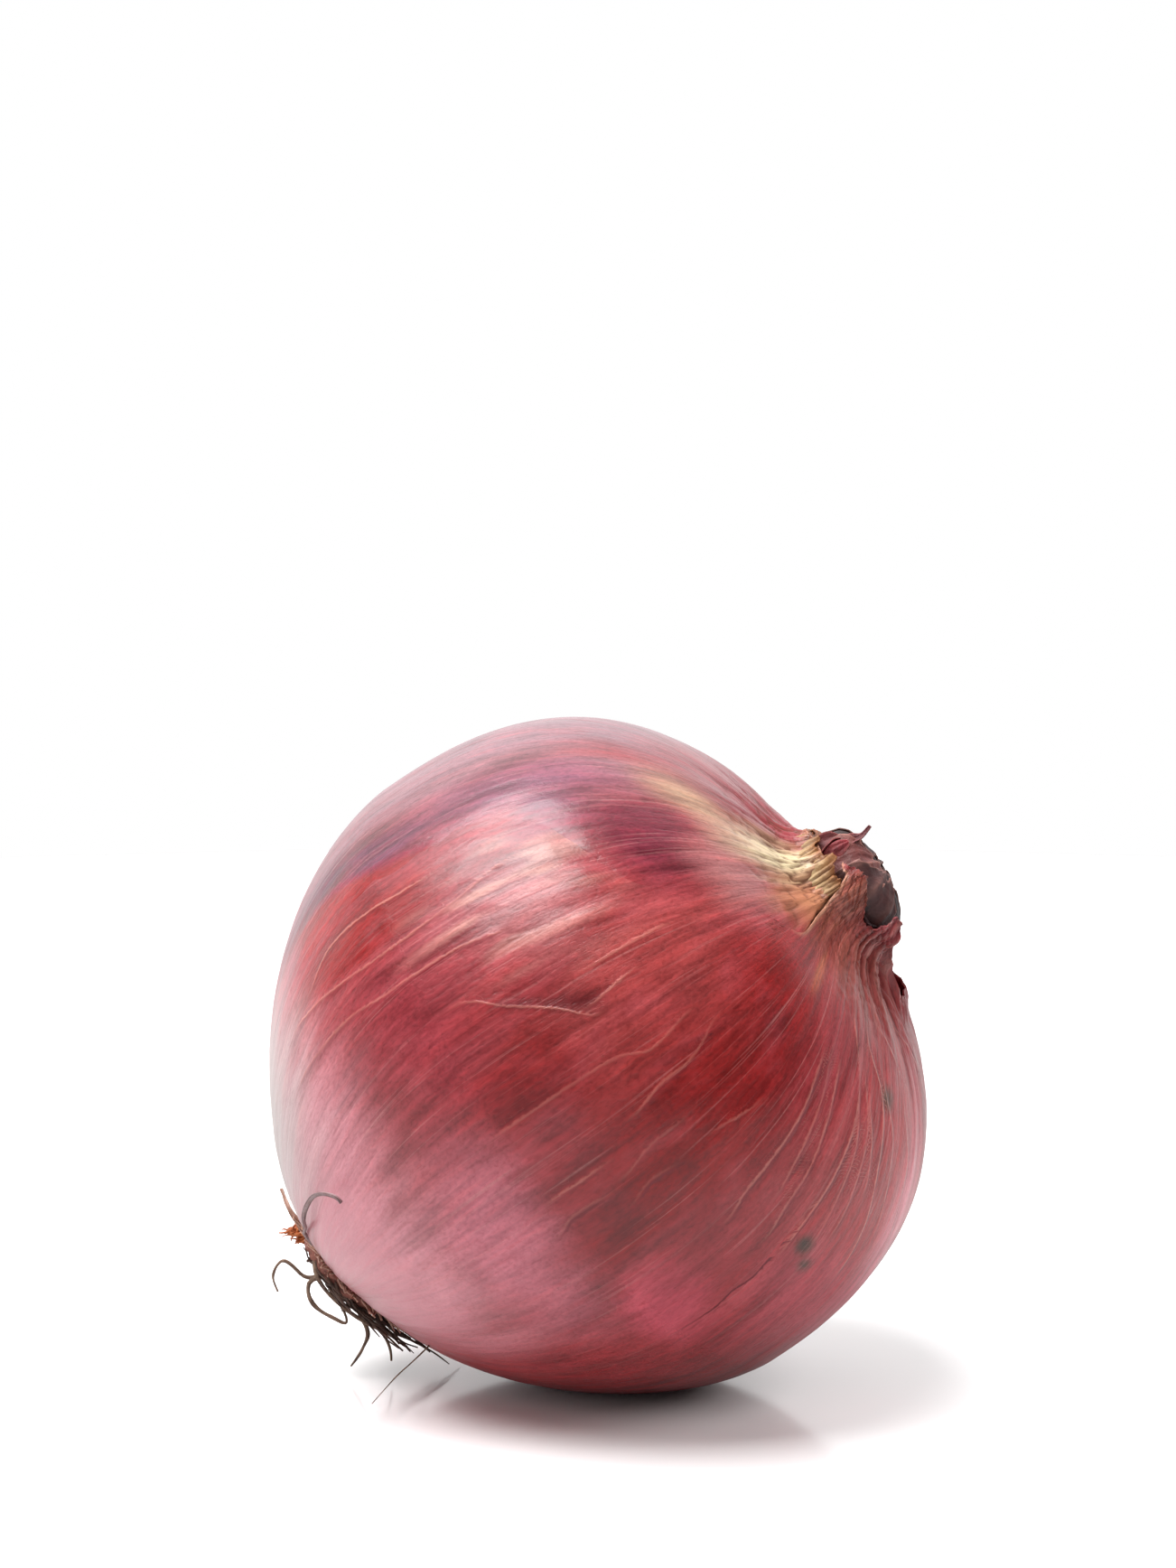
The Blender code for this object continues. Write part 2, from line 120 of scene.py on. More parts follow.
def noise(place):
    """Smooth noise from -1 to 1 at places (..., 3), with lumps one unit across."""
    cell = np.floor(place).astype(int)
    t = place - cell
    t = t * t * (3 - 2 * t)
    total = np.zeros(place.shape[:-1])
    for corner in np.ndindex(2, 2, 2):
        weight = np.prod(np.where(corner, t, 1 - t), axis=-1)
        at = (cell + corner) % 32
        total += weight * LATTICE[at[..., 0], at[..., 1], at[..., 2]]
    return total


def streaks(lon, lat, across, along, shift=0.0):
    """Noise in streaks that run from the roots to the neck, sized in mm at the waist."""
    angle = np.radians(lon)
    place = (EQUATOR * np.cos(angle) / across + shift,
             EQUATOR * np.sin(angle) / across + 3.1 * shift,
             MM_PER_DEGREE * np.asarray(lat, float) / along + 7.7 * shift)
    return noise(np.stack(np.broadcast_arrays(*place), -1))


print("noise spans", np.round([LATTICE.min(), LATTICE.max()], 2))

# %% [markdown]
# ## The bulb's outline
# The outline is the same as the solid's: a superellipse above the waist, a slightly more
# pointed one below, and a sweep from the shoulder into a short neck. The growth lines meet
# a little beside the axis at the roots.

# %% Outline and surface
ROOT_REACH, ROOT_POWER, ROOT_OFFSET = 38.3, 1.71, 4.5
NECK_REACH, NECK_POWER = 35.4, 2.45
SHOULDER, NECK_FOOT, NECK_RADIUS = 74.0, 90.0, 8.4
NECK_SWEEP = ((14.0, 34.3), (9.5, 35.2), (8.5, 36.2), (8.4, 38.3))
NECK_RISE_PER_DEGREE = 0.25


def outline(lat):
    """Radius and height of the onion's outline, up to the shoulder and on up the neck."""
    lat = np.asarray(lat, float)
    angle = np.radians(np.clip(lat, -90, SHOULDER))
    low = lat < 0
    reach = np.where(low, ROOT_REACH, NECK_REACH)
    power = 2 / np.where(low, ROOT_POWER, NECK_POWER)
    radius = EQUATOR * np.abs(np.cos(angle)) ** power
    height = np.sign(angle) * reach * np.abs(np.sin(angle)) ** power
    t = np.clip((lat - SHOULDER) / (NECK_FOOT - SHOULDER), 0, 1)
    weights = ((1 - t) ** 3, 3 * t * (1 - t) ** 2, 3 * t * t * (1 - t), t ** 3)
    neck_radius = sum(w * p[0] for w, p in zip(weights, NECK_SWEEP))
    neck_height = sum(w * p[1] for w, p in zip(weights, NECK_SWEEP))
    neck_height = neck_height + np.maximum(lat - NECK_FOOT, 0) * NECK_RISE_PER_DEGREE
    up_neck = lat > SHOULDER
    return np.where(up_neck, neck_radius, radius), np.where(up_neck, neck_height, height)


print("waist radius", EQUATOR, "mm, neck radius", NECK_RADIUS, "mm")

# %% Surface
def surface(lon, lat):
    """Points on the smooth outer surface, in upright millimetres."""
    radius, height = outline(lat)
    angle = np.radians(lon)
    x, y = radius * np.cos(angle), radius * np.sin(angle)
    below = np.asarray(lat, float) < 0
    x = np.where(below, x - ROOT_OFFSET * (1 - (radius / EQUATOR) ** 2), x)
    share = np.clip(np.hypot(x, y) / EQUATOR, 0, 1)
    dome = -ROOT_REACH * (1 - share ** ROOT_POWER) ** (1 / ROOT_POWER)
    return np.stack(np.broadcast_arrays(x, y, np.where(below, dome, height)), -1)


def outward(lon, lat):
    """Unit directions straight out of the smooth surface."""
    east = surface(lon + 1, lat) - surface(lon - 1, lat)
    north = surface(lon, lat + 0.4) - surface(lon, lat - 0.4)
    out = np.cross(east, north)
    return out / np.maximum(np.linalg.norm(out, axis=-1, keepdims=True), 1e-9)


print("roots start at", np.round(surface(0.0, -90.0), 1), "mm upright")

# %% [markdown]
# ## The torn edges
# The dry coat is missing over the top. Its two long torn edges and its ragged ends round
# the neck and the roots follow the same lines as the solid's, with finer tears added.

# %% Where the coat ends
NEAR_EDGE = ((-72, 26), (-40, 35), (-15, 40), (25, 43), (39, 63), (57, 76), (66, 92),
             (74, 92), (88, 82), (93, 77), (98, 68))
FAR_EDGE = ((-72, 318), (-45, 304), (-20, 296), (5, 300), (30, 291), (52, 279),
            (68, 264), (84, 262), (98, 268))
NECK_EDGE = ((66, 97), (76, 100), (86, 102), (94, 102.6), (101, 100), (107, 96.5), (114, 92.5),
             (122, 90), (128, 92), (133, 98), (139, 101), (148, 100.5), (158, 96), (172, 89),
             (180, 79), (188, 75), (204, 74), (213, 79), (223, 90), (242, 93), (268, 89))
ROOT_EDGE, ROOT_FRAY, TEAR_WAVE = -72.0, 1.6, 1.1


def near_edge(lat):
    """Longitude of the coat's torn edge on the viewer's side."""
    ripple = np.sin(0.31 * lat) + 0.6 * np.sin(0.83 * lat + 1.0)
    return through(NEAR_EDGE, lat) + 0.5 * TEAR_WAVE * ripple


def far_edge(lat):
    """Longitude of the coat's torn edge on the far side."""
    ripple = np.sin(0.27 * lat + 2.0) + 0.7 * np.sin(0.71 * lat)
    return through(FAR_EDGE, lat) + 1.2 * TEAR_WAVE * ripple


def covered(lon, lat):
    """One where the coat lies over the bulb, zero where the bulb shows."""
    side = blend(0, 6, lon - near_edge(lat)) * blend(0, 6, far_edge(lat) - lon)
    return side * (1 - blend(-3, 1, lat - through(NECK_EDGE, lon)))


print("near torn edge at the waist:", round(float(near_edge(np.array(0.0))), 1), "degrees")

# %% [markdown]
# ## Relief
# The skin is stretched tight round the belly and gathered like a drawstring bag at the neck.
# Each gather is a rounded ridge with a sharp valley, which is what the absolute value of a
# sine gives. Dents, the crease and the long thin folds are single events. Each fold has its
# own line, and every place knows how far it is from the nearest one.

# %% Gathers at the neck, broad dents
def gathers(lon, lat, count, shift):
    """Ridges round the neck, from 0 in the valleys to 1 on the crests."""
    sway = 1.5 * streaks(lon, lat, 9.0, 16.0, shift) + 0.6 * streaks(lon, lat, 3.0, 7.0, shift + 1)
    return np.abs(np.sin(count / 2 * np.radians(lon) + sway))


def wrinkles(lon, lat, across, along, shift, slant=0.0):
    """Thin irregular valleys near the neck, 0 on the skin and 1 in a valley's bottom."""
    angle, up = np.radians(lon), np.interp(lat, (40, 74, 90, 102), (-18.0, 0.0, 7.5, 10.5))
    turn = 0.05 * streaks(lon, lat, 4.0, 5.0, shift + 2) + slant * up / 9
    place = (9 * np.cos(angle + turn) / across + shift, 9 * np.sin(angle + turn) / across - shift,
             up / along + 2 * shift)
    place = np.stack(np.broadcast_arrays(*place), -1)
    return np.clip(1 - np.abs(noise(place) + 0.3 * noise(2.3 * place)) / 0.22, 0, 1)


def relief(lon, lat):
    """Folds that the coat and the bulb share, in mm."""
    angle = np.radians(lon)
    broad = 0.3 * blend(52, 84, lat) * np.cos(12 * angle + 1.5 * np.sin(2 * angle))
    dent = 0.5 * hump(lon, 77, 9) * hump(lat, 15, 5)
    swell = 0.22 * streaks(lon, lat, 13.0, 22.0, 4.0) * (1 - blend(60, 85, lat))
    shoulder = hump(lon, 50, 20) * hump(lat, 22, 26)
    crinkle = 0.09 * streaks(lon, lat, 1.7, 6.0, 8.0) + 0.04 * streaks(lon, lat, 0.9, 1.8, 9.0)
    return broad - dent + swell + (0.25 + shoulder) * (1 - blend(60, 80, lat)) * crinkle


print("gather crest at the neck:", round(float(gathers(100.0, 85.0, 36, 2.0)), 2))

# %% [markdown]
# ## Long folds
# A dry skin that shrinks over a bulb lifts in a few long folds. The crest of a fold is thin
# and pale, its foot lies in shade. A mesh fine enough to carry such a line as paint would be
# heavy, so every place keeps its distance from the nearest fold as an attribute. The mesh
# takes the ridge from it, and the material later draws the thin lines.

# %% Long thin folds in the dry coat
FOLDS = (
    # how light its crest is, how dark its foot, (latitude, longitude) along it
    (0.9, 0.2, ((-30, 47), (-26, 48.5), (-11, 53.5), (-1, 54.5), (9, 53.5), (20, 51))),
    (0.8, 0.3, ((-24, 46), (-16.5, 43.5), (-5, 45), (6, 46))),
    (0.6, 0.3, ((-36, 55), (-25, 57), (-16.5, 58.5), (-8.5, 60.5), (6.5, 61.5), (16, 63))),
    (0.0, 0.7, ((2, 51.3), (7, 52), (13, 51.5), (24.5, 52))),
    (0.0, 0.6, ((8, 61.5), (12.5, 62.5), (20, 64.5))),
    (0.5, 0.2, ((8, 106.5), (14.5, 105), (22, 105))),
    (0.45, 0.4, ((15, 99.5), (23, 98), (29, 98), (33.5, 97), (39, 95))),
    (0.4, 0.0, ((24, 110), (31, 111.5), (36, 112.5))),
    (0.35, 0.0, ((-4, 90), (13, 90), (19.5, 90.5), (25, 92.5), (36, 91))),
    (0.6, 0.1, ((22, 75.5), (32, 75), (42, 74.5))),
    (0.7, 0.0, ((20, 81), (27, 80), (31, 79.5))),
    (0.6, 0.7, ((16, 124), (22, 122.5), (32, 122), (41, 121.5), (54, 119.5))),
    (0.6, 0.8, ((18, 132.5), (25.5, 131), (33.5, 130.5), (43.5, 128.5), (55, 126))),
    (0.8, 0.9, ((18, 137.5), (24.5, 137), (44.5, 137), (53, 135.5), (59, 132.5), (67, 128))),
    (0.5, 0.7, ((20, 142.5), (33.5, 141), (42.5, 140), (60, 133.8))),
    (1.0, 1.0, ((20, 155.5), (31, 154), (40.5, 151), (50, 148.5), (56, 146), (66, 137))),
    (0.7, 0.7, ((59, 166), (63, 157.5), (67, 151), (70, 145))),
    (0.6, 1.0, ((50, 190), (55, 187), (62, 182), (66.5, 177), (72, 169))),
    (0.6, 0.8, ((36, 148.5), (46, 145), (54, 140.5))),
    (0.5, 0.7, ((20, 172), (36.5, 167.5), (45.5, 166.5), (56, 162))),
    (0.5, 0.6, ((24, 128), (34, 126.5), (46, 124.5), (58, 121.5))),
    (0.5, 0.7, ((26, 145.5), (36, 144.5), (48, 142), (58, 137))),
    (0.6, 0.7, ((30, 160), (40, 157.5), (50, 154), (60, 147))),
    (0.0, 2.2, ((-1, 136.3), (4, 136.8), (8, 136.1), (12, 136.7), (16, 136.2), (21, 136.1),
                (27, 135.8))),
    (0.3, 0.9, ((-7, 108.5), (0, 107), (2.5, 107), (6, 107.5))),
    (0.2, 1.0, ((6, 111), (11, 109.5), (17, 110))),
    (0.6, 0.5, ((-2.5, 103), (3, 103), (8, 103))),
    (0.6, 0.0, ((2, 69.5), (8.5, 74.2), (15, 78.5), (21, 83))),
    (0.5, 0.3, ((-50, 205), (-10, 200), (30, 203), (62, 194))),
    (0.6, 0.4, ((-30, 218), (5, 221), (45, 214), (70, 205))),
    (0.5, 0.5, ((-45, 240), (-5, 236), (35, 239), (64, 228))),
    (0.7, 0.4, ((-20, 254), (20, 257), (55, 248))),
    (0.5, 0.3, ((-48, 272), (-10, 268), (25, 271), (50, 262))),
    (0.5, 0.4, ((-25, 285), (0, 283), (24, 281))),
    (0.4, 0.3, ((-60, 170), (-25, 176), (5, 178))),
)
# mm from a fold where there is none, ends of the crease, ridges round the coat's neck
NO_FOLD, CREASE, COAT_GATHERS = 9.0, ((71.5, 4.0), (84.0, 22.0)), 36
print(len(FOLDS), "long folds")

# %% How far the nearest fold is
def nearest_fold(lon, lat):
    """Signed mm from the nearest long fold, and how light and dark that fold is there."""
    distance = np.full(np.shape(lon), NO_FOLD)
    light, dark = np.zeros(np.shape(lon)), np.zeros(np.shape(lon))
    radius = np.minimum(outline(lat)[0], EQUATOR)
    for crest, foot, path in FOLDS:
        here = np.radians(lon - through(path, lat)) * radius
        taper = blend(path[0][0] - 2, path[0][0] + 5, lat)
        taper = taper * (1 - blend(path[-1][0] - 5, path[-1][0] + 2, lat))
        taper = taper * (1 - blend(0.6, 1.1, np.abs(here)))
        closer = (np.abs(here) < np.abs(distance)) & (taper > 0)
        distance = np.where(closer, here, distance)
        light, dark = np.where(closer, crest * taper, light), np.where(closer, foot * taper, dark)
    return np.stack([distance, light, dark], -1)


beside_fold = nearest_fold(np.array([55.0]), np.array([0.0]))
print("a place at 55 degrees is", round(float(beside_fold[0, 0]), 2), "mm from a fold")

# %% Relief of the dry coat alone
def across_line(lon, lat, start, end):
    """Mm to the right of a line between two places, and how far along it, 0 to 1."""
    east, north = 0.66, 0.62
    line = np.array(((end[0] - start[0]) * east, (end[1] - start[1]) * north))
    length = np.hypot(*line)
    x, y = (lon - start[0]) * east, (lat - start[1]) * north
    return (x * line[1] - y * line[0]) / length, (x * line[0] + y * line[1]) / length ** 2


def coat_relief(lon, lat):
    """Finer folds in the dry coat alone, in mm."""
    crest = gathers(lon, lat, COAT_GATHERS, 2.0)
    loose = 0.2 + 0.8 * blend(112, 130, lon)
    uneven = np.clip(0.8 + 0.7 * streaks(lon, lat, 5.0, 12.0, 21.0), 0.2, 1.4)
    folds = 0.5 * loose * uneven * blend(56, 90, lat) ** 1.3 * (crest - 0.6)
    creases = 0.26 * loose * wrinkles(lon, lat, 0.9, 3.0, 3.0)
    creases = creases + 0.2 * wrinkles(lon, lat, 0.75, 1.6, 5.0, 0.9)
    folds = folds - blend(60, 84, lat) * creases
    ribs = 0.05 * streaks(lon, lat, 2.2, 24.0, 5.0) + 0.03 * streaks(lon, lat, 1.2, 9.0, 6.0)
    ribs = ribs * (1 - 0.6 * blend(70, 88, lat))
    distance, light, dark = np.moveaxis(nearest_fold(lon, lat), -1, 0)
    ribs = ribs + 0.09 * light * hump(distance, 0.0, 0.5)
    ribs = ribs - 0.10 * dark * hump(distance, 0.9, 0.6)
    side, along = across_line(lon, lat, *CREASE)
    inside = blend(0, 0.15, along) * (1 - blend(0.8, 1.0, along))
    crease = -0.22 * hump(side, -1.5, 1.2) * along
    return folds + ribs + inside * crease


belly = coat_relief(np.linspace(40.0, 150.0, 400), np.full(400, 20.0))
print("folds on the belly are up to", round(float(np.ptp(belly)), 2), "mm deep")

# %% [markdown]
# ## The colours of the skin
# The pigment lies in soft clouds: crimson on the belly, pink toward the roots, lilac where
# the moist scale shows, cream where the neck is bare of pigment. Each cloud is a hex colour
# with a place, a size in degrees, a lean and a softness, laid over the ones before it. The
# places and sizes were set one by one. The colours were then fitted, so that a render under
# these lamps matches the photo. The result is kept on the mesh as a colour attribute,
# because the clouds follow the surface.
# One pale cloud toward the roots is painted reflection: the fit took the white floor's sheen into
# the paint.

# %% Hex colours to linear light
def linear(code):
    """A linear colour from an sRGB hex code."""
    parts = [int(code[i:i + 2], 16) / 255 for i in (1, 3, 5)]
    return np.array([p / 12.92 if p <= 0.04045 else ((p + 0.055) / 1.055) ** 2.4 for p in parts])


def wash(tint, code, share):
    """A tint with a share of a hex colour laid over it."""
    return mix(tint, linear(code), share[..., None])


def washes(tint, *layers):
    """A tint with several washes over it, each a hex colour and its share."""
    for code, share in layers:
        tint = wash(tint, code, share)
    return tint


def one_colour(code, points):
    """The same colour for every point."""
    return np.broadcast_to(linear(code), points.shape)


print("white is", linear("#ffffff"))

# %% Clouds of pigment, and one of painted reflection
GROUND = "#99383e"
CLOUDS = (
    # colour, longitude, latitude, half width, half height, lean, softness, strength
    ("#8c6770", 350, 15, 52, 60, 0.0, 0.5, 1.0),
    ("#8c3f46", 5, 68, 55, 16, 0.0, 0.6, 0.8),
    ("#74284a", 215, 10, 40, 45, 0.0, 0.8, 0.35),
    ("#7f1c28", 235, 25, 34, 32, 0.0, 0.8, 0.8),
    ("#d48a95", 85, -46, 75, 24, 0.0, 0.7, 1.0),
    ("#b8707c", 215, -50, 60, 20, 0.0, 0.7, 0.8),
    ("#b8383e", 140, -35, 18, 40, 0.1, 0.8, 0.9),
    ("#cd7686", 106, -14, 22, 14, 0.0, 0.9, 0.85),
    ("#93323b", 66, -6, 22, 15, 0.1, 0.9, 0.9),
    ("#ad4144", 158, 38, 32, 36, 0.0, 0.7, 0.85),
    ("#963939", 88, 34, 24, 30, 0.0, 0.6, 1.0),
    ("#851212", 108, 27, 17, 34, 0.0, 0.8, 0.9),
    ("#8a1212", 97, 57, 16, 15, 0.0, 0.8, 0.9),
    ("#7c1212", 84, 7, 14, 8, 0.0, 0.9, 0.7),
    ("#894b51", 50, 20, 12, 18, 0.0, 0.8, 0.9),
    ("#82455e", 33, 26, 7, 24, 0.0, 0.8, 0.8),
    ("#4a1212", 30, -8, 6, 20, 0.15, 0.8, 0.75),
    ("#881212", 47, -9, 8, 17, 0.1, 0.5, 0.95),
    ("#6f2134", 53, 46, 13, 12, 0.1, 0.6, 0.95),
    ("#ac7b78", 66, 62, 12, 9, 0.2, 0.8, 0.6),
    # painted reflection: the white floor's sheen on the skin toward the roots, fitted into the
    # paint
    ("#b6b4b0", 42, -50, 28, 20, 0.0, 0.9, 0.8),
    ("#925c52", 30, 57, 9, 9, 0.0, 0.9, 0.7),
    ("#de5c70", 131, -1, 9, 7, 0.0, 0.9, 0.7),
    ("#ea8f9d", 172, 30, 9, 26, 0.0, 0.9, 0.8),
    ("#8a4038", 150, 79, 46, 12, 0.0, 0.7, 0.8),
    ("#dd6c7a", 158, 14, 18, 13, 0.0, 0.9, 0.6),
    ("#9c5a46", 96, 90, 20, 17, 0.0, 0.6, 0.9),
    ("#b8703c", 108, 69, 2.5, 7, 0.0, 0.8, 0.6),
    ("#b07678", 61, 20, 9, 10, 0.1, 0.9, 0.75),
    ("#702c4a", 45, 30, 6, 9, 0.0, 0.9, 0.6),
    ("#b8987e", 50, 65, 8, 6, 0.1, 0.9, 0.6),
)
print(len(CLOUDS), "clouds of pigment")

# %% Lay the clouds
def cloud(lon, lat, place, size, lean, softness, seed):
    """How much of a cloud lies at each place, from 0 to 1, with a streaky rim."""
    turn = (lon - place[0] - lean * (lat - place[1]) + 180) % 360 - 180
    rough = 0.22 * streaks(lon, lat, 5.0, 15.0, seed)
    rough = rough + 0.12 * streaks(lon, lat, 1.6, 10.0, seed + 9)
    far = np.hypot(turn / size[0], (lat - place[1]) / size[1]) + rough
    return 1 - blend(1 - softness, 1 + softness * 0.5, far)


def pigment_and_reflection(lon, lat):
    """Linear colours of the skin without its finest lines; one pale cloud is painted reflection.
    """
    colour = np.broadcast_to(linear(GROUND), np.shape(lon) + (3,)).copy()
    for index, (code, x, y, wide, high, lean, softness, strength) in enumerate(CLOUDS):
        share = strength * cloud(lon, lat, (x, y), (wide, high), lean, softness, 0.37 * index)
        colour = wash(colour, code, share)
    return colour


print("belly colour:", np.round(pigment_and_reflection(np.array([100.0]), np.array([0.0]))[0], 2))

# %% Stains and bruises
STAINS = (("#3e4034", 141, 22, 2.5, 2.1, 0.95), ("#3e4034", 144.5, 19, 2.3, 1.9, 0.95),
          ("#5a2a30", 111, 5, 5.0, 4.0, 0.3), ("#464236", 150, 56, 4.0, 2.6, 0.9),
          ("#4a1a20", 105, 50, 6.0, 4.0, 0.35), ("#5b2f38", 96, 6, 9.0, 4.0, 0.25),
          ("#4f1a22", 118, 12, 7.0, 9.0, 0.12), ("#7a6a6a", 230, -10, 3.0, 2.5, 0.4))


def stained(colour, lon, lat):
    """The coat's colours with its grey-green spots and dark bruises."""
    for index, (code, x, y, wide, high, strength) in enumerate(STAINS):
        share = strength * cloud(lon, lat, (x, y), (wide, high), 0.0, 0.9, 20 + 0.51 * index)
        colour = wash(colour, code, share)
    return colour


print(len(STAINS), "stains")

# %% [markdown]
# ## Meshes that carry their paint
# A grid or a spun line starts in a flat map of longitude and latitude, where the operators
# are simple. One formula then moves every vertex to its place on the onion. The paint and
# the growth lines go on the mesh as attributes, so that a material can follow the surface.

# %% From points to a piece
def piece_from(bm, name, points, tint, grain, folds=None, streaky=1.0):
    """An object from a bmesh whose vertices get places, colours and growth lines."""
    mesh = bpy.data.meshes.new(name)
    bm.to_mesh(mesh)
    bm.free()
    mesh.vertices.foreach_set("co", laid_down(points).astype(np.float32).ravel())
    paint = mesh.attributes.new("tint", "FLOAT_COLOR", "POINT")
    with_streaks = np.concatenate([tint, np.broadcast_to(streaky, tint.shape[:-1])[..., None]], -1)
    paint.data.foreach_set("color", np.clip(with_streaks, 0, 1).astype(np.float32).ravel())
    growth = mesh.attributes.new("grain", "FLOAT_VECTOR", "POINT")
    growth.data.foreach_set("vector", grain.astype(np.float32).ravel())
    if folds is not None:
        lines = mesh.attributes.new("folds", "FLOAT_VECTOR", "POINT")
        lines.data.foreach_set("vector", folds.astype(np.float32).ravel())
    mesh.update()
    mesh.shade_smooth()
    piece = bpy.data.objects.new(name, mesh)
    bpy.context.scene.collection.objects.link(piece)
    return piece


def give_wall(piece, thickness, offset=-1.0):
    """A Solidify modifier that gives a sheet its thickness in mm."""
    wall = piece.modifiers.new("wall", "SOLIDIFY")
    wall.thickness = thickness * MM
    wall.offset = offset


print("pieces get their paint as attributes")

# %% Flat maps and growth lines
def map_places(bm):
    """The places of a map's vertices, as rows of an array."""
    return np.array([corner.co[:] for corner in bm.verts])


def growth_lines(lon, lat):
    """Millimetres round the waist and along a meridian, without a seam."""
    angle = np.radians(lon)
    parts = np.broadcast_arrays(EQUATOR * np.cos(angle), EQUATOR * np.sin(angle),
                                MM_PER_DEGREE * lat)
    return np.stack(parts, -1)


def grid_map(columns, rows):
    """A flat grid of squares, one unit wide and high, from 0 to 1 each way."""
    bm = bmesh.new()
    bmesh.ops.create_grid(bm, x_segments=columns, y_segments=rows, size=0.5)
    bmesh.ops.translate(bm, verts=bm.verts[:], vec=(0.5, 0.5, 0.0))
    return bm


print("the waist is", round(math.tau * EQUATOR), "mm round")

# %% [markdown]
# ## The bulb
# The bulb is one body of revolution before it is dented, so a line of points is spun round
# the axis. The line is a map too: its height is the latitude. It sinks a little under the
# coat, and its neck is finely pleated: cream on the crests, darkened brown by painted shade
# in the valleys.

# %% Spin the bulb's map
BULB_COLUMNS = 320
ROOT_POLE, CAP_START, CAP_POLE = -90, 92, 100
levels = np.concatenate([np.linspace(ROOT_POLE, 60, 134), np.linspace(60, CAP_START, 66)[1:],
                         np.linspace(CAP_START, CAP_POLE, 7)[1:]])
bm = bmesh.new()
line = [bm.verts.new((0.0 if level in (ROOT_POLE, CAP_POLE) else 1.0, 0.0, level))
        for level in levels]
edges = [bm.edges.new(pair) for pair in zip(line, line[1:])]
bmesh.ops.spin(bm, geom=line + edges, cent=(0, 0, 0), axis=(0, 0, 1), steps=BULB_COLUMNS,
               angle=math.tau, use_merge=True)
bmesh.ops.remove_doubles(bm, verts=bm.verts[:], dist=0.0001)
bmesh.ops.recalc_face_normals(bm, faces=bm.faces[:])
places = map_places(bm)
bulb_lon = np.degrees(np.arctan2(places[:, 1], places[:, 0])) % 360
bulb_lat = places[:, 2]
print("bulb map:", len(bm.verts), "points,", len(bm.faces), "faces")

# %% Shape the bulb and its pleated neck
def bare_folds(lon, lat):
    """The bare neck's fine pleats in mm, and how deep in a valley each place is."""
    gather = blend(58, 84, lat)
    long, short = wrinkles(lon, lat, 0.55, 5.0, 9.0), wrinkles(lon, lat, 0.45, 1.8, 12.0)
    folds = 0.2 * (gathers(lon, lat, 40, 11.0) - 0.7) - 0.24 * long - 0.14 * short
    return gather * folds, gather * np.maximum(long ** 1.3, 0.75 * short ** 1.5)


neck_lat = np.minimum(bulb_lat, CAP_START)
folds, bulb_valley_shade = bare_folds(bulb_lon, neck_lat)
sink = mix(0.3, 0.95, covered(bulb_lon, neck_lat))
lift = relief(bulb_lon, neck_lat) + folds - sink
bulb_points = surface(bulb_lon, neck_lat) + outward(bulb_lon, neck_lat) * lift[:, None]
bulb_points[bulb_lat <= ROOT_POLE] = surface(0.0, float(ROOT_POLE))
behind = hump(np.mod(bulb_lon + 190, 360), 180, 38)
bulb_points[:, 2] -= 1.4 * behind * blend(84, 92, bulb_lat)
cap = blend(CAP_START, CAP_POLE, bulb_lat)[:, None]
bulb_points[:, :2] *= 1 - cap
bulb_points[:, 2:] -= 0.9 * np.sin(cap * 3)
print("bulb spans", np.round(np.ptp(bulb_points, axis=0), 1), "mm upright")

# %% [markdown]
# ## The bulb's paint
# The bare scale is not one colour. A lilac band ends at a crisp magenta line against a red
# area, and toward the neck the pigment gives way to cream and tan. The paint starts from
# the clouds, and washes go over it in the order in which a painter would lay them.

# %% Paint the neck and the lilac band
RED_EDGE = ((-40, 24), (-18, 31), (-4.5, 36.5), (5.5, 39.5), (14, 42), (24, 43))
tan = cloud(bulb_lon, neck_lat, (78, 84), (26, 14), 0.0, 0.7, 33.0)
tail = cloud(bulb_lon, neck_lat, (37, 61), (8, 12), 0.5, 0.95, 32.0)
cream = cloud(bulb_lon, neck_lat, (50, 79), (19, 13), 0.0, 0.7, 31.0)
beside = np.radians(through(RED_EDGE, neck_lat) - bulb_lon)
beside = beside * np.minimum(outline(neck_lat)[0], EQUATOR)
streak_noise = streaks(bulb_lon, neck_lat, 1.4, 7.0, 73.0)
violet = np.exp(-(np.maximum(beside - 3.0, 0) / 3.0) ** 2) * blend(-0.4, 0.4, beside)
violet = violet * blend(-34, -18, neck_lat) * (1 - blend(26, 44, neck_lat))
red = blend(-0.3, 0.5, -beside) * blend(-27, -21, neck_lat) * (1 - blend(8, 16, neck_lat))
magenta = hump(beside, 0.4, 0.5) * blend(-24, -14, neck_lat) * (1 - blend(14, 24, neck_lat))
bulb_tint = washes(pigment_and_reflection(bulb_lon, neck_lat), ("#bd8460", 0.85 * tan), ("#bca07c", 0.65 * tail),
                   ("#dccaa2", cream), ("#6a3a56", 0.7 * violet * blend(-0.8, 0.4, streak_noise)),
                   ("#981410", 0.72 * red * (bulb_lon < 60)), ("#8a1034", 0.8 * magenta))
print("lilac band covers", int((violet > 0.5).sum()), "points")

# %% Paint shade into the pleats, and both ends
under_hood = blend(98, 106, bulb_lon) * (1 - blend(200, 215, bulb_lon)) * blend(85, 88, neck_lat)
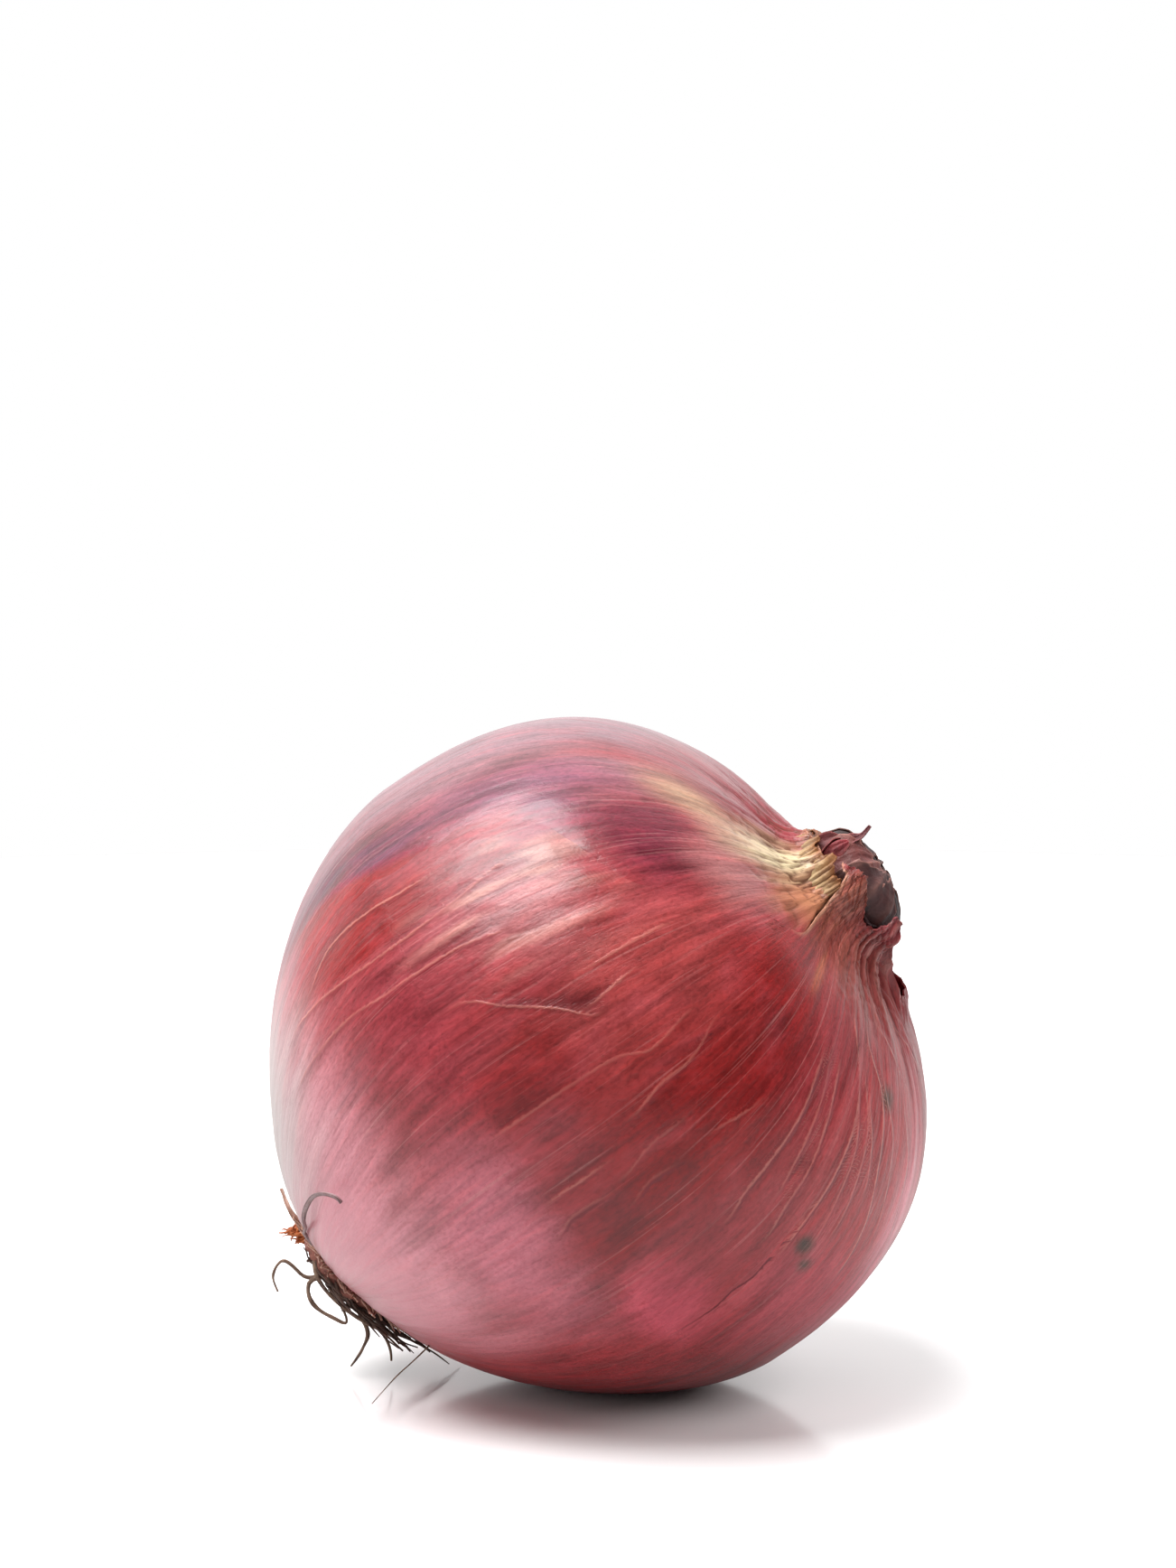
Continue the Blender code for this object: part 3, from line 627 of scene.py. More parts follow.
# painted shade: the pleats' valleys are darkened brown by their depth
bulb_tint = washes(bulb_tint, ("#a9764e", 0.7 * blend(84, 91, neck_lat)),
                   ("#5c3020", np.clip(1.1 * bulb_valley_shade, 0, 0.85)),
                   ("#8a4a3a", blend(-66, -76, bulb_lat)), ("#352224", under_hood))
bulb_streaks = (0.25 + 0.75 * blend(-52, -22, bulb_lat)) * (1 - 0.6 * blend(60, 78, bulb_lat))
bulb = piece_from(bm, "bulb_scale", bulb_points, bulb_tint, growth_lines(bulb_lon, bulb_lat),
                  streaky=bulb_streaks)
low = np.array([corner.co.z for corner in bulb.data.vertices]).min()
print("bulb's lowest point", round(low / MM, 2), "mm")

# %% [markdown]
# ## The dry coat
# The coat is a thin sheet, so it starts as a grid. One side of the grid becomes the torn
# edge near the viewer, the other side the far one, its bottom the fringe at the roots and
# its top the flap and the rolled lip at the neck. Its columns crowd toward the viewer's side.

# %% Lay the coat's map on the onion
COAT_COLUMNS, COAT_ROWS = 320, 224


def coat_place(across, up):
    """Longitude and latitude at shares of the way across and up the torn coat."""
    across = 0.62 * across + 0.38 * across ** 3
    share = 1.2 * up - 0.2 * up * up
    level = mix(ROOT_EDGE, NECK_EDGE[0][1], share)
    near, far = near_edge(level), far_edge(level)
    tears = 0.7 * streaks(0.0, level, 3.0, 1.3, 14.0) + 0.3 * streaks(0.0, level, 3.0, 0.6, 15.0)
    near = near + (0.3 + 0.7 * blend(50, 66, level)) * tears
    lon = mix(near, far, across)
    start = ROOT_EDGE + ROOT_FRAY * np.sin(np.radians(11 * lon))
    start = start + 0.9 * streaks(lon, 0.0, 1.1, 9.0, 16.0)
    end = through(NECK_EDGE, lon) + 1.6 * streaks(lon, 0.0, 2.6, 9.0, 17.0)
    end = end + 0.9 * streaks(lon, 0.0, 0.9, 9.0, 18.0)
    return lon, mix(start, end, share), near, end


bm = grid_map(COAT_COLUMNS, COAT_ROWS)
torn_edges = [edge for edge in bm.edges if edge.is_boundary]
for edge in torn_edges:
    edge.smooth = False
made = bmesh.ops.extrude_edge_only(bm, edges=torn_edges)
turned_in = [part for part in made["geom"] if isinstance(part, bmesh.types.BMVert)]
bmesh.ops.translate(bm, verts=turned_in, vec=(0.0, 0.0, 1.0))
places = map_places(bm)
tucked = places[:, 2]
coat_lon, coat_lat, coat_near, coat_end = coat_place(places[:, 0], places[:, 1])
print("coat map:", len(bm.verts), "points")

# %% [markdown]
# ## How the coat lies
# A dry scale clings to the bulb along its tears and stands off a little round the neck,
# where its end rolls into a lip. A shell of even thickness would end in a straight step, so
# the extruded rim is tucked inward and the sheet is lifted or pressed down by formula.

# %% Curl the coat's edges and roll its lip
CLING, CLING_WIDTH = 0.27, 4.0
RIM_DEPTH = 0.22
radius = outline(coat_lat)[0]
from_tear = np.radians(coat_lon - coat_near) * radius
from_far = np.radians(far_edge(coat_lat) - coat_lon) * radius
by_tears = np.maximum(hump(from_tear, 0.0, CLING_WIDTH), hump(from_far, 0.0, CLING_WIDTH))
cling = CLING * by_tears * (1 - blend(70, 78, coat_lat))
curl = 0.06 * blend(72, 80, coat_lat) * hump(from_tear, 0.0, 0.8)
own = 1 - by_tears * (1 - blend(66, 76, coat_lat))
from_end = (coat_end - coat_lat) * np.where(coat_lat > 88, 0.25, 0.45)
lip = 0.4 * blend(86, 92, coat_lat) - 0.9 * blend(94, 101, coat_lat)
lip = lip * hump(coat_lon, 148, 16)
torn = blend(166, 178, coat_lon) * (1 - blend(205, 222, coat_lon))
lift = relief(coat_lon, coat_lat) + own * coat_relief(coat_lon, coat_lat) + (curl - cling)
lift = lift + lip + 0.9 * torn * hump(from_end, 0.0, 1.2) - RIM_DEPTH * tucked
coat_points = surface(coat_lon, coat_lat) + outward(coat_lon, coat_lat) * lift[:, None]
print("coat lifts from", round(lift.min(), 2), "to", round(lift.max(), 2), "mm")

# %% [markdown]
# ## The coat's paint
# Painted shade darkens the valleys of the gathers and wrinkles, and a painted highlight
# pales the crests. Where the coat dries out fully, on the flap at the neck, it turns brown.
# The crease on the belly gets a painted shadow of its own, and painted highlight streaks,
# with darker red between them, run over the shoulder under the soft box.

# %% Paint shade and highlight into the gathers, and the flap
crest = gathers(coat_lon, coat_lat, COAT_GATHERS, 2.0)
gather = (0.3 + 0.7 * blend(112, 130, coat_lon)) * blend(58, 88, coat_lat)
thin = np.maximum(wrinkles(coat_lon, coat_lat, 0.9, 3.0, 3.0),
                  0.7 * wrinkles(coat_lon, coat_lat, 0.75, 1.6, 5.0, 0.9))
brown = hump(coat_lon, 122, 15) * hump(coat_lat, 78, 10)
flap = hump(coat_lon, 99, 15) * blend(80, 92, coat_lat)
dry_streak = blend(-0.5, 0.7, streaks(coat_lon, coat_lat, 0.9, 5.0, 74.0))
pale_rim = hump(from_tear, 0.0, 0.35) * blend(66, 76, coat_lat)
# painted shade darkens the valleys of the gathers and wrinkles; a painted highlight pales their
# crests
coat_tint = washes(stained(pigment_and_reflection(coat_lon, coat_lat), coat_lon, coat_lat),
                   ("#5a2428", 0.6 * gather * (1 - crest) ** 1.5),
                   ("#c08a80", 0.4 * gather * crest ** 6),
                   ("#4a1c1e", 0.55 * blend(62, 84, coat_lat) * thin ** 1.5),
                   ("#8c5440", 0.45 * brown),
                   ("#c8806a", 0.6 * flap * dry_streak * (1 - thin)),
                   ("#d8a888", 0.7 * pale_rim))
print("flap covers", int((flap > 0.5).sum()), "points")

# %% Paint a highlight over the shoulder, and the crease's shadow
streak_noise = streaks(coat_lon, coat_lat, 1.9, 9.0, 70.0)
streak_noise = streak_noise + 0.5 * streaks(coat_lon, coat_lat, 0.9, 5.0, 71.0)
# painted highlight: pale streaks with darker red between them, where the overhead soft box shines
# on the shoulder
shoulder = 0.75 * hump(coat_lon, 56, 11) * hump(coat_lat, 19, 15)
side, along = across_line(coat_lon, coat_lat, *CREASE)
shade = np.exp(-((side + 1.6 * along) / (1.3 * along + 0.2)) ** 2) * (side < 0.1)
shade = shade * blend(0, 0.3, along) * (1 - blend(0.85, 1.05, along))
coat_tint = washes(coat_tint, ("#dca898", shoulder * blend(0.1, 0.7, streak_noise)),
                   ("#7c1a26", shoulder * blend(0.1, 0.7, -streak_noise)), ("#5c0a14", 0.75 * shade))
coat = piece_from(bm, "dry_coat", coat_points, coat_tint, growth_lines(coat_lon, coat_lat),
                  nearest_fold(coat_lon, coat_lat), 0.25 + 0.75 * blend(-52, -22, coat_lat))
for corner in coat.data.vertices:
    corner.co.z = max(corner.co.z, 0.0)
print("coat is", len(coat.data.polygons), "squares")

# %% [markdown]
# ## The frill of the bare neck
# Where the bare neck ends, its driest outer layers stand up as a ragged, curled frill. It is
# one more sheet, bent round the neck, with a torn top and a curl that comes and goes.

# %% The frill
FRILL_TOP = ((-100, 38.2), (-70, 38.3), (-40, 37.5), (-20, 37.0), (0, 37.0), (12, 37.3),
             (20, 38.0), (31, 39.3), (40, 38.3), (50, 38.5), (60, 39.6), (72, 39.1), (82, 38.8),
             (95, 38.4))
FRILL_FOOT, FRILL_RADIUS = 35.4, 8.35
bm = grid_map(220, 26)
places = map_places(bm)
frill_lon = mix(FRILL_TOP[0][0], FRILL_TOP[-1][0], places[:, 0])
up = places[:, 1]
top = through(FRILL_TOP, frill_lon) + 0.5 * streaks(frill_lon, 0.0, 3.5, 9.0, 40.0)
top = top + 0.3 * streaks(frill_lon, 0.0, 1.2, 9.0, 41.0)
height = mix(FRILL_FOOT, top, up)
folds, valley = bare_folds(frill_lon, np.full_like(up, NECK_FOOT))
crumple = 0.28 * up * streaks(frill_lon, height * 3, 1.6, 1.6, 42.0)
bend = -0.4 * hump(frill_lon, 12, 32) + 0.25 * streaks(frill_lon, 0.0, 5.0, 9.0, 43.0)
frill_radius = FRILL_RADIUS + 1.2 * folds + crumple + bend * up ** 2
angle = np.radians(frill_lon)
frill_points = np.stack([frill_radius * np.cos(angle), frill_radius * np.sin(angle), height], -1)
frill_tint = wash(one_colour("#cdb488", frill_points), "#9a6238", up ** 1.5)
# painted shade: the frill's pleat valleys are darkened by their depth
frill_tint = wash(frill_tint, "#55301f", np.clip(1.1 * valley, 0, 0.8))
frill = piece_from(bm, "neck_frill", frill_points, frill_tint,
                   np.stack([frill_lon * 0.15, height, up], -1))
give_wall(frill, 0.14, 0.0)
print("frill is", len(frill.data.polygons), "squares")

# %% [markdown]
# ## Dead leaf ends
# The leaves died back and folded over the neck like the flaps of a parcel. A dome carries
# overlapping sheets. Each sheet has radial folds, a ragged inner edge that stands up a
# little, and is built in the same way: a grid bent over the dome.

# %% A dome and its folds, as formulas
DOME = ((0.0, 41.6), (2.2, 41.5), (4.2, 41.1), (5.5, 40.5), (6.3, 39.9), (6.75, 39.0), (6.8, 36.6))
DOME_REACH = np.array([0.0, 0.24, 0.46, 0.62, 0.74, 0.86, 1.0])


def dome(lon, reach, lift):
    """Places over the closed neck: reach is 0 at its middle and 1 down inside its rim."""
    points = np.array(DOME)
    radius = np.interp(reach, DOME_REACH, points[:, 0])
    height = np.interp(reach, DOME_REACH, points[:, 1])
    angle = np.radians(lon)
    slope = np.clip(1 - reach, 0, 1)
    radius = radius + lift * np.sqrt(np.clip(reach, 0, 1))
    x, y = radius * np.cos(angle), radius * np.sin(angle)
    open_air = blend(38.4, 40.6, height)
    height = height + lift * np.sqrt(slope) + open_air * (0.04 * x + 0.12 * (y + 5))
    return np.stack([x, y, height], -1)


def leaf_folds(lon, reach, shift):
    """Folds that run over a dead leaf end, in mm, and how sharp each crest is."""
    angle = np.radians(lon)
    wide = np.stack([2.2 * np.cos(angle) + shift, 2.2 * np.sin(angle), 0.8 * reach], -1)
    fine = np.stack([6.5 * np.cos(angle), 6.5 * np.sin(angle) + shift, 2.2 * reach], -1)
    crest = 1 - np.abs(noise(wide)) * 2
    small = 1 - np.abs(noise(fine)) * 2
    return 0.4 * crest + 0.16 * small, np.clip(0.6 * crest + 0.4 * small, 0, 1)


print("the dome's top is", DOME[0][1], "mm up")

# %% The dome under the leaf ends
bm = grid_map(140, 40)
places = map_places(bm)
lon, reach = 360 * places[:, 0], 1 - places[:, 1]
fold, sharp = leaf_folds(lon, reach, 3.0)
points = dome(lon, reach, (fold - 0.5) * blend(0, 0.3, reach) - 0.1)
tint = wash(one_colour("#2e2223", points), "#5a403e", sharp ** 3)
hood = piece_from(bm, "leaf_dome", points, tint, points.copy())
bm = bmesh.new()
bm.from_mesh(hood.data)
bmesh.ops.remove_doubles(bm, verts=bm.verts[:], dist=0.01 * MM)
bm.to_mesh(hood.data)
bm.free()
give_wall(hood, 0.2)
print("dome is", len(hood.data.polygons), "squares")

# %% Overlapping sheets on the dome
SHEETS = (
    # first and last longitude, how far in it reaches, lift, colour of its body, of its edge
    ("leaf_end_low", 95, 215, 0.12, 0.25, "#322526", "#7a5450"),
    ("leaf_end_back", 200, 350, 0.10, 0.3, "#3a2829", "#7e5850"),
    ("leaf_end_high", 28, 112, 0.22, 0.25, "#6c3634", "#c08678"),
    ("leaf_end_side", 70, 150, 0.34, 0.5, "#4a2c2c", "#a8746a"),
)
SHEET_WALL = 0.14
leaf_ends = []
for index, (name, first, last, inner, lift, body, edge) in enumerate(SHEETS):
    bm = grid_map(90, 30)
    places = map_places(bm)
    lon = mix(first, last, places[:, 0])
    inner_edge = inner + 0.10 * streaks(lon, 0.0, 7.0, 9.0, 50 + index)
    inner_edge = inner_edge + 0.04 * streaks(lon, 0.0, 2.5, 9.0, 60 + index)
    sides = np.minimum(places[:, 0], 1 - places[:, 0])
    inner_edge = inner_edge + 0.3 * (1 - blend(0, 0.3, sides))
    reach = mix(0.97, inner_edge, places[:, 1])
    fold, sharp = leaf_folds(lon, reach, 7.0 + 2 * index)
    stand = 0.12 * blend(0.75, 1.0, places[:, 1])
    points = dome(lon, reach, lift + stand + 0.9 * (fold - 0.5))
    near_rim = np.maximum(blend(0.9, 1.0, places[:, 1]), 1 - blend(0.0, 0.03, sides))
    tint = wash(one_colour(body, points), edge, 0.55 * sharp ** 4)
    leaf = piece_from(bm, name, points, wash(tint, edge, 0.8 * near_rim), points.copy())
    give_wall(leaf, SHEET_WALL)
    leaf_ends.append(leaf)
print("leaf ends:", [leaf.name for leaf in leaf_ends])

# %% [markdown]
# ## Narrow leaf ends
# A leaf that dried alone shrinks to a narrow, cupped strip with a pale rim. One function
# bends a small grid along a route, because the lobes, the spike and the longest shreds at
# the roots are all such strips. Only their routes, widths and colours differ.

# %% A cupped strip along a route
def along_route(route, share):
    """Points at shares of the way along a smooth line through the route."""
    steps = np.linspace(0, 1, len(route))
    return np.stack([through(list(zip(steps, axis)), share) for axis in np.transpose(route)], -1)


def leaf_strip(name, route, widths, side, cup, body, edge, shift):
    """A pointed, cupped leaf end along a route, in upright mm."""
    bm = grid_map(18, 30)
    places = map_places(bm)
    across, up = 2 * places[:, 0] - 1, places[:, 1]
    middle = along_route(route, up)
    heading = along_route(route, np.minimum(up + 0.02, 1.02))
    heading = heading - along_route(route, np.maximum(up - 0.02, -0.02))
    heading /= np.maximum(np.linalg.norm(heading, axis=1, keepdims=True), 1e-6)
    side = np.array(side, float) / np.linalg.norm(side)
    sideways = side - heading * (heading @ side)[:, None]
    sideways /= np.linalg.norm(sideways, axis=1, keepdims=True)
    width = along_route(np.array(widths, float)[:, None], up)[:, 0]
    width = width * (1 + 0.12 * noise(np.stack([across * 0.3 + shift, up * 5, up * 0], -1)))
    place = np.stack([across * 2.5 + shift, up * 1.5, up * 0 + shift], -1)
    crest = 1 - np.abs(noise(place)) * 2
    sag = cup * across ** 2 * width + 0.22 * (crest - 0.5)
    points = middle + sideways * (across * width / 2)[:, None]
    points = points + np.cross(heading, sideways) * sag[:, None]
    rim = np.maximum(blend(0.75, 1.0, np.abs(across)), blend(0.93, 1.0, up))
    pale = 0.6 * rim + 0.3 * np.clip(crest, 0, 1) ** 3
    leaf = piece_from(bm, name, points, wash(one_colour(body, points), edge, pale), points.copy())
    give_wall(leaf, SHEET_WALL, 0.0)
    return leaf


print("halfway along a bend:", along_route([(0, 0, 0), (1, 0, 1), (2, 0, 0)], np.array([0.5])))

# %% Lobes and the spike
STRIPS = (
    # name, route, widths, side, cup, colour of its body, of its edge, shift of its folds
    ("lobe_left", [(5.0, 4.3, 37.6), (5.5, 3.9, 39.0), (5.6, 3.6, 39.9), (5.2, 3.3, 40.7)],
     (2.2, 2.5, 1.9, 0.7), (-0.6, 0.8, 0.1), -0.25, "#6a2c2e", "#9a4e4c", 2.0),
    ("lobe_middle", [(4.5, 4.9, 38.0), (5.0, 5.0, 39.4), (4.9, 4.8, 40.6), (4.5, 4.4, 41.5)],
     (2.8, 3.3, 2.6, 0.9), (-0.7, 0.7, 0.1), 0.3, "#8a3238", "#d88a84", 5.0),
    ("spike", [(3.7, 3.2, 39.8), (4.2, 3.0, 41.5), (4.1, 2.7, 42.8), (4.5, 2.5, 44.2)],
     (2.4, 1.7, 0.9, 0.35), (0.7, -0.7, 0.0), 0.35, "#6a2e34", "#b06a6a", 8.0),
)
leaf_ends.extend(leaf_strip(*strip) for strip in STRIPS)
print("leaf ends:", len(leaf_ends))

# %% [markdown]
# ## The root plate
# The roots grow from a low woody swelling, the short stem of the onion. It has its own
# frame: out of the roots, down the slope and forward. A turned profile gives its round
# form, and noise on its vertices gives the scars that dead roots leave.

# %% The plate's frame
pad_place = surface(0.0, -90.0)
pad_east = pad_place - surface(0.0, -89.0)
pad_out = np.cross(pad_east, surface(90.0, -89.0) - pad_place)
pad_out = pad_out / np.linalg.norm(pad_out)
if pad_out[2] > 0:
    pad_out = -pad_out
pad_down = np.cross((0.0, 1.0, 0.0), pad_out)
pad_down = pad_down / np.linalg.norm(pad_down)
pad_front = np.cross(pad_out, pad_down)


def on_pad(points):
    """Upright mm for places on the plate: down the slope, forward, outward."""
    return pad_place + np.asarray(points, float) @ np.array((pad_down, pad_front, pad_out))


print("roots point", np.round(pad_out, 2), "upright")

# %% Spin and roughen the plate
PLATE = ((0.0, 2.2), (1.2, 2.16), (2.4, 2.05), (3.6, 1.8), (4.8, 1.35), (5.8, 0.9), (6.6, 0.45),
         (7.3, -0.2), (7.6, -0.7), (7.3, -1.2), (5.0, -1.3), (0.0, -1.3))
bm = bmesh.new()
line = [bm.verts.new((radius, 0.0, height)) for radius, height in PLATE]
edges = [bm.edges.new(pair) for pair in zip(line, line[1:])]
bmesh.ops.spin(bm, geom=line + edges, cent=(0, 0, 0), axis=(0, 0, 1), steps=72,
               angle=math.tau, use_merge=True)
bmesh.ops.remove_doubles(bm, verts=bm.verts[:], dist=0.0001)
bmesh.ops.subdivide_edges(bm, edges=bm.edges[:], cuts=1, use_grid_fill=True)
bmesh.ops.recalc_face_normals(bm, faces=bm.faces[:])
places = map_places(bm)
rough = 0.35 * noise(places * 0.9) + 0.2 * noise(places * 2.3 + 5)
rings = 0.12 * np.sin(np.hypot(places[:, 0], places[:, 1]) * 5)
places[:, 2] += np.where(places[:, 2] > -0.9, rough + rings, 0)
tint = wash(one_colour("#70382e", places), "#b87464", np.clip(0.5 + rough, 0, 1))
plate = piece_from(bm, "root_plate", on_pad(places), tint, places.copy())
print("plate is", len(plate.data.polygons), "faces")

# %% [markdown]
# ## The roots
# Dried roots are wiry threads, thick at the plate, thin at the tip and uneven between. They
# are curves, because a curve with a bevel is a tube with a radius at each point, and it is
# far lighter than a modelled tube. The longest ones follow routes of their own, and the
# mat between them is grown step by step from the plate, each step turned a little.

# %% Tubes along routes
def root_curve(name, routes):
    """One curve object of tapering threads; a route is (upright points, width in mm)."""
    curve = bpy.data.curves.new(name, "CURVE")
    curve.dimensions = "3D"
    curve.bevel_depth = 0.5 * MM
    curve.bevel_resolution = 1
    curve.resolution_u = 3
    curve.use_fill_caps = True
    for points, width in routes:
        spline = curve.splines.new("NURBS")
        spline.points.add(len(points) - 1)
        spline.order_u = 3
        spline.use_endpoint_u = True
        for index, (corner, point) in enumerate(zip(spline.points, laid_down(np.asarray(points)))):
            corner.co = (*point, 1.0)
            share = index / (len(points) - 1)
            uneven = 1.0 + 0.28 * math.sin(2.7 * index + 31.0 * width)
            corner.radius = width * (1.0 - 0.6 * share ** 1.5) * uneven
    piece = bpy.data.objects.new(name, curve)
    bpy.context.scene.collection.objects.link(piece)
    return piece


def kept_off_floor(points, lowest):
    """Upright points, raised where they would lie below a height over the floor."""
    world = laid_down(points) / MM
    lack = np.maximum(lowest - world[..., 2], 0)
    return points + lack[..., None] * np.array((TOP[2], FRONT[2], AXIS[2]))

# %% The longest roots
LONG_ROOTS = {
    # a route on the plate in mm (down the slope, forward, outward), and a width in mm
    "curl": ([(-1.5, 3, 0.8), (-2.2, 3.5, 2.4), (-3.2, 4, 3.3), (-5.1, 4.3, 3.1),
              (-6.4, 4.5, 3.3), (-6.5, 4.6, 4.3), (-6.1, 4.7, 5.4), (-5.5, 4.8, 6.0),
              (-4.2, 4.8, 6.5)], 0.55),
    "loop": ([(-1.2, 4, 0.8), (-2.7, 4.6, 2.5), (-1.7, 5, 3.9), (-0.3, 5.2, 4.4), (1.1, 5.2, 4.3),
              (2.6, 5.1, 3.8), (4.3, 5, 3.3), (3.6, 4.6, 2.7), (2.0, 4.2, 2.4),
              (0.5, 4, 1.8)], 0.6),
    "hook": ([(3.0, 3.5, 0.4), (4.4, 4, 1.7), (5.9, 4.4, 1.8), (7.0, 4.5, 2.5), (7.4, 4.6, 3.7),
              (7.8, 4.7, 4.9), (8.0, 4.7, 6.6)], 0.62),
    "spur": ([(5.0, 2, 0.2), (6.4, 2.5, 1.4), (8.6, 3, 1.7), (10.1, 3.2, 2.3),
              (10.9, 3.3, 3.1)], 0.55),
    "bundle": ([(-4.2, 5, -0.2), (-3.0, 5.9, 1.2), (0.3, 6.2, 1.9), (4.4, 5.7, 1.6),
                (7.8, 4.6, 0.9), (9.8, 3.8, 0.4)], 0.6),
}
# the longest thread is as thin as a hair and reaches the floor; its points are world mm
HAIR = ((-19.5, -6.5, 8.0), (-21.9, -8.9, 6.0), (-23.8, -8.0, 4.0), (-25.0, -8.2, 3.0),
        (-26.6, -8.7, 1.3), (-27.8, -11.2, 0.4))
long_routes = [(kept_off_floor(on_pad(route), 0.8), width) for route, width in LONG_ROOTS.values()]
hair = (np.array(HAIR) - CENTRE) @ np.array((TOP, FRONT, AXIS)).T
long_routes.append((hair, 0.2))
long_roots = root_curve("long_roots", long_routes)
print("long roots:", len(long_routes))

# %% The mat of small roots
SMALL_ROOTS, GOLDEN_ANGLE, STEP_LENGTH, CLEARANCE = 110, 137.5, 0.62, 0.6
rng = np.random.default_rng(11)
small_routes = []
for index in range(SMALL_ROOTS):
    angle = math.radians(GOLDEN_ANGLE * index)
    start = 7.0 * math.sqrt((index + 0.5) / SMALL_ROOTS)
    place = np.array((start * math.cos(angle), start * math.sin(angle),
                      1.6 * (1 - (start / 7.6) ** 2) - 0.4))
    course = np.array((math.cos(angle), math.sin(angle), 0.0)) * 0.5
    course += np.array((rng.uniform(0.3, 1.5), rng.uniform(-0.5, 0.5), 0.0))
    route = [place]
    for step in range(1, int(rng.uniform(6, 12))):
        course = course + np.array((rng.uniform(-0.35, 0.35), rng.uniform(-0.35, 0.35), 0.0))
        course[2] = max(0.9 - 0.3 * step, -0.35) + rng.uniform(-0.25, 0.25)
        place = place + course * STEP_LENGTH
        away = math.hypot(place[0], place[1])
        plate_top = float(mix(2.3, -0.6, blend(1, 10, away)))
        place[2] = max(place[2], plate_top + rng.uniform(0, 0.3))
        route.append(place.copy())
    route = kept_off_floor(on_pad(np.array(route)), CLEARANCE)
    small_routes.append((route, rng.uniform(0.25, 0.5)))
small_roots = root_curve("small_roots", small_routes)
print("small roots:", len(small_routes))

# %% [markdown]
# ## Shreds at the plate
# Torn shreds of old skin and root ends stand round the plate. The longest one curls up over
# the coat, and an orange knot of them sits at the plate's upper end.

# %% Two long shreds
def over_skin(route):
    """Upright mm for (longitude, latitude, lift in mm)."""
    route = np.array(route, float)
    lon, lat = route[:, 0], route[:, 1]
    return surface(lon, lat) + outward(lon, lat) * route[:, 2:]


ribbon = over_skin([(60, -72, 0.1), (66, -64, 0.5), (71, -57.5, 0.9), (71, -53.5, 1.2),
                    (72.5, -48, 1.7), (74, -43, 2.0), (76, -40, 2.0), (78.5, -38.5, 1.6),
                    (80, -39, 1.2)])
peak = over_skin([(36, -77, 0.1), (31, -74, 0.6), (24, -72, 1.0), (17, -70.5, 1.2),
                  (12, -69, 1.4)])
shreds = [leaf_strip("shred_ribbon", ribbon, (0.15, 0.25, 0.42, 0.4, 0.15), (0.3, 1.0, 0.4),
                     0.3, "#a89092", "#5e4040", 11.0),
          leaf_strip("shred_peak", peak, (1.2, 0.7, 0.45, 0.12), (1.0, 0.2, 0.4),
                     0.3, "#a07868", "#d8b8a8", 13.0)]
print("shreds:", [shred.name for shred in shreds])

# %% A knot of fibres and the fringe
KNOT_FIBRES, KNOT_TURN, FRINGE_FIBRES = 80, 2.399, 90
knot_routes = []
for index in range(KNOT_FIBRES):
    angle, away = index * KNOT_TURN, math.sqrt(index / KNOT_FIBRES)
    start = np.array((-7.0 + away * math.cos(angle), 1.3 + away * math.sin(angle), 0.1))
    tip = start + np.array((-0.5, 0.2, 1.0)) * rng.uniform(0.3, 1.5) + rng.uniform(-0.5, 0.5, 3)
    tip = tip + np.array((-0.9, 0.4, 0.3)) * (index % 9 == 0)
    bow = (start + tip) / 2 + rng.uniform(-0.6, 0.6, 3)
    route = on_pad(np.array([start, bow, tip, tip + rng.uniform(-0.5, 0.5, 3)]))
    knot_routes.append((route, rng.uniform(0.2, 0.5)))
knot = root_curve("orange_knot", knot_routes)
fringe_routes = []
for index in range(FRINGE_FIBRES):
    lon = 360 / FRINGE_FIBRES * index + rng.uniform(-2, 2)
    level = ROOT_EDGE - rng.uniform(2.5, 6)
    drift = lon + rng.uniform(-9, 9)
    reach = ROOT_EDGE + rng.uniform(-2.5, 1.5)
    route = [(lon, level - 3, -0.4), (lon, level, 0.2),
             (mix(lon, drift, 0.5), mix(level, reach, 0.6), 0.35),
             (drift, reach, rng.uniform(0.3, 0.9))]
    fringe_routes.append((kept_off_floor(over_skin(route), CLEARANCE), rng.uniform(0.25, 0.6)))
fringe = root_curve("root_fringe", fringe_routes)
print("knot and fringe:", len(knot_routes), "and", len(fringe_routes), "fibres")

# %% [markdown]
# ## Materials
# Each finish starts from what it is. A fleshy scale is moist under a thin cuticle: smooth,
# glossy, dielectric. The dry coat is paper-like cellulose with a waxy bloom: satin, with
# fine ribs along its growth. Dead leaf and root are dry fibres, nearly matt. One small
# function adds every node, so that a material reads like a list of what it is made of.

# %% One function for every node
def add(tree, kind, inputs=None, **settings):
    """Adds a shader node with its settings, its values and its links."""
    made = tree.nodes.new("ShaderNode" + kind)
    for name, value in settings.items():
        setattr(made, name, value)
    for name, value in (inputs or {}).items():
        if isinstance(value, bpy.types.NodeSocket):
            tree.links.new(value, made.inputs[name])
        else:
            made.inputs[name].default_value = value
    return made


def new_material(name):
    """An empty node material, and its tree."""
    material = bpy.data.materials.new(name)
    material.use_nodes = True
    material.node_tree.nodes.clear()
    return material, material.node_tree


def rgba(code):
    """A hex colour as the four numbers that a colour socket takes."""
    return (*linear(code), 1.0)


print("material helpers are ready")

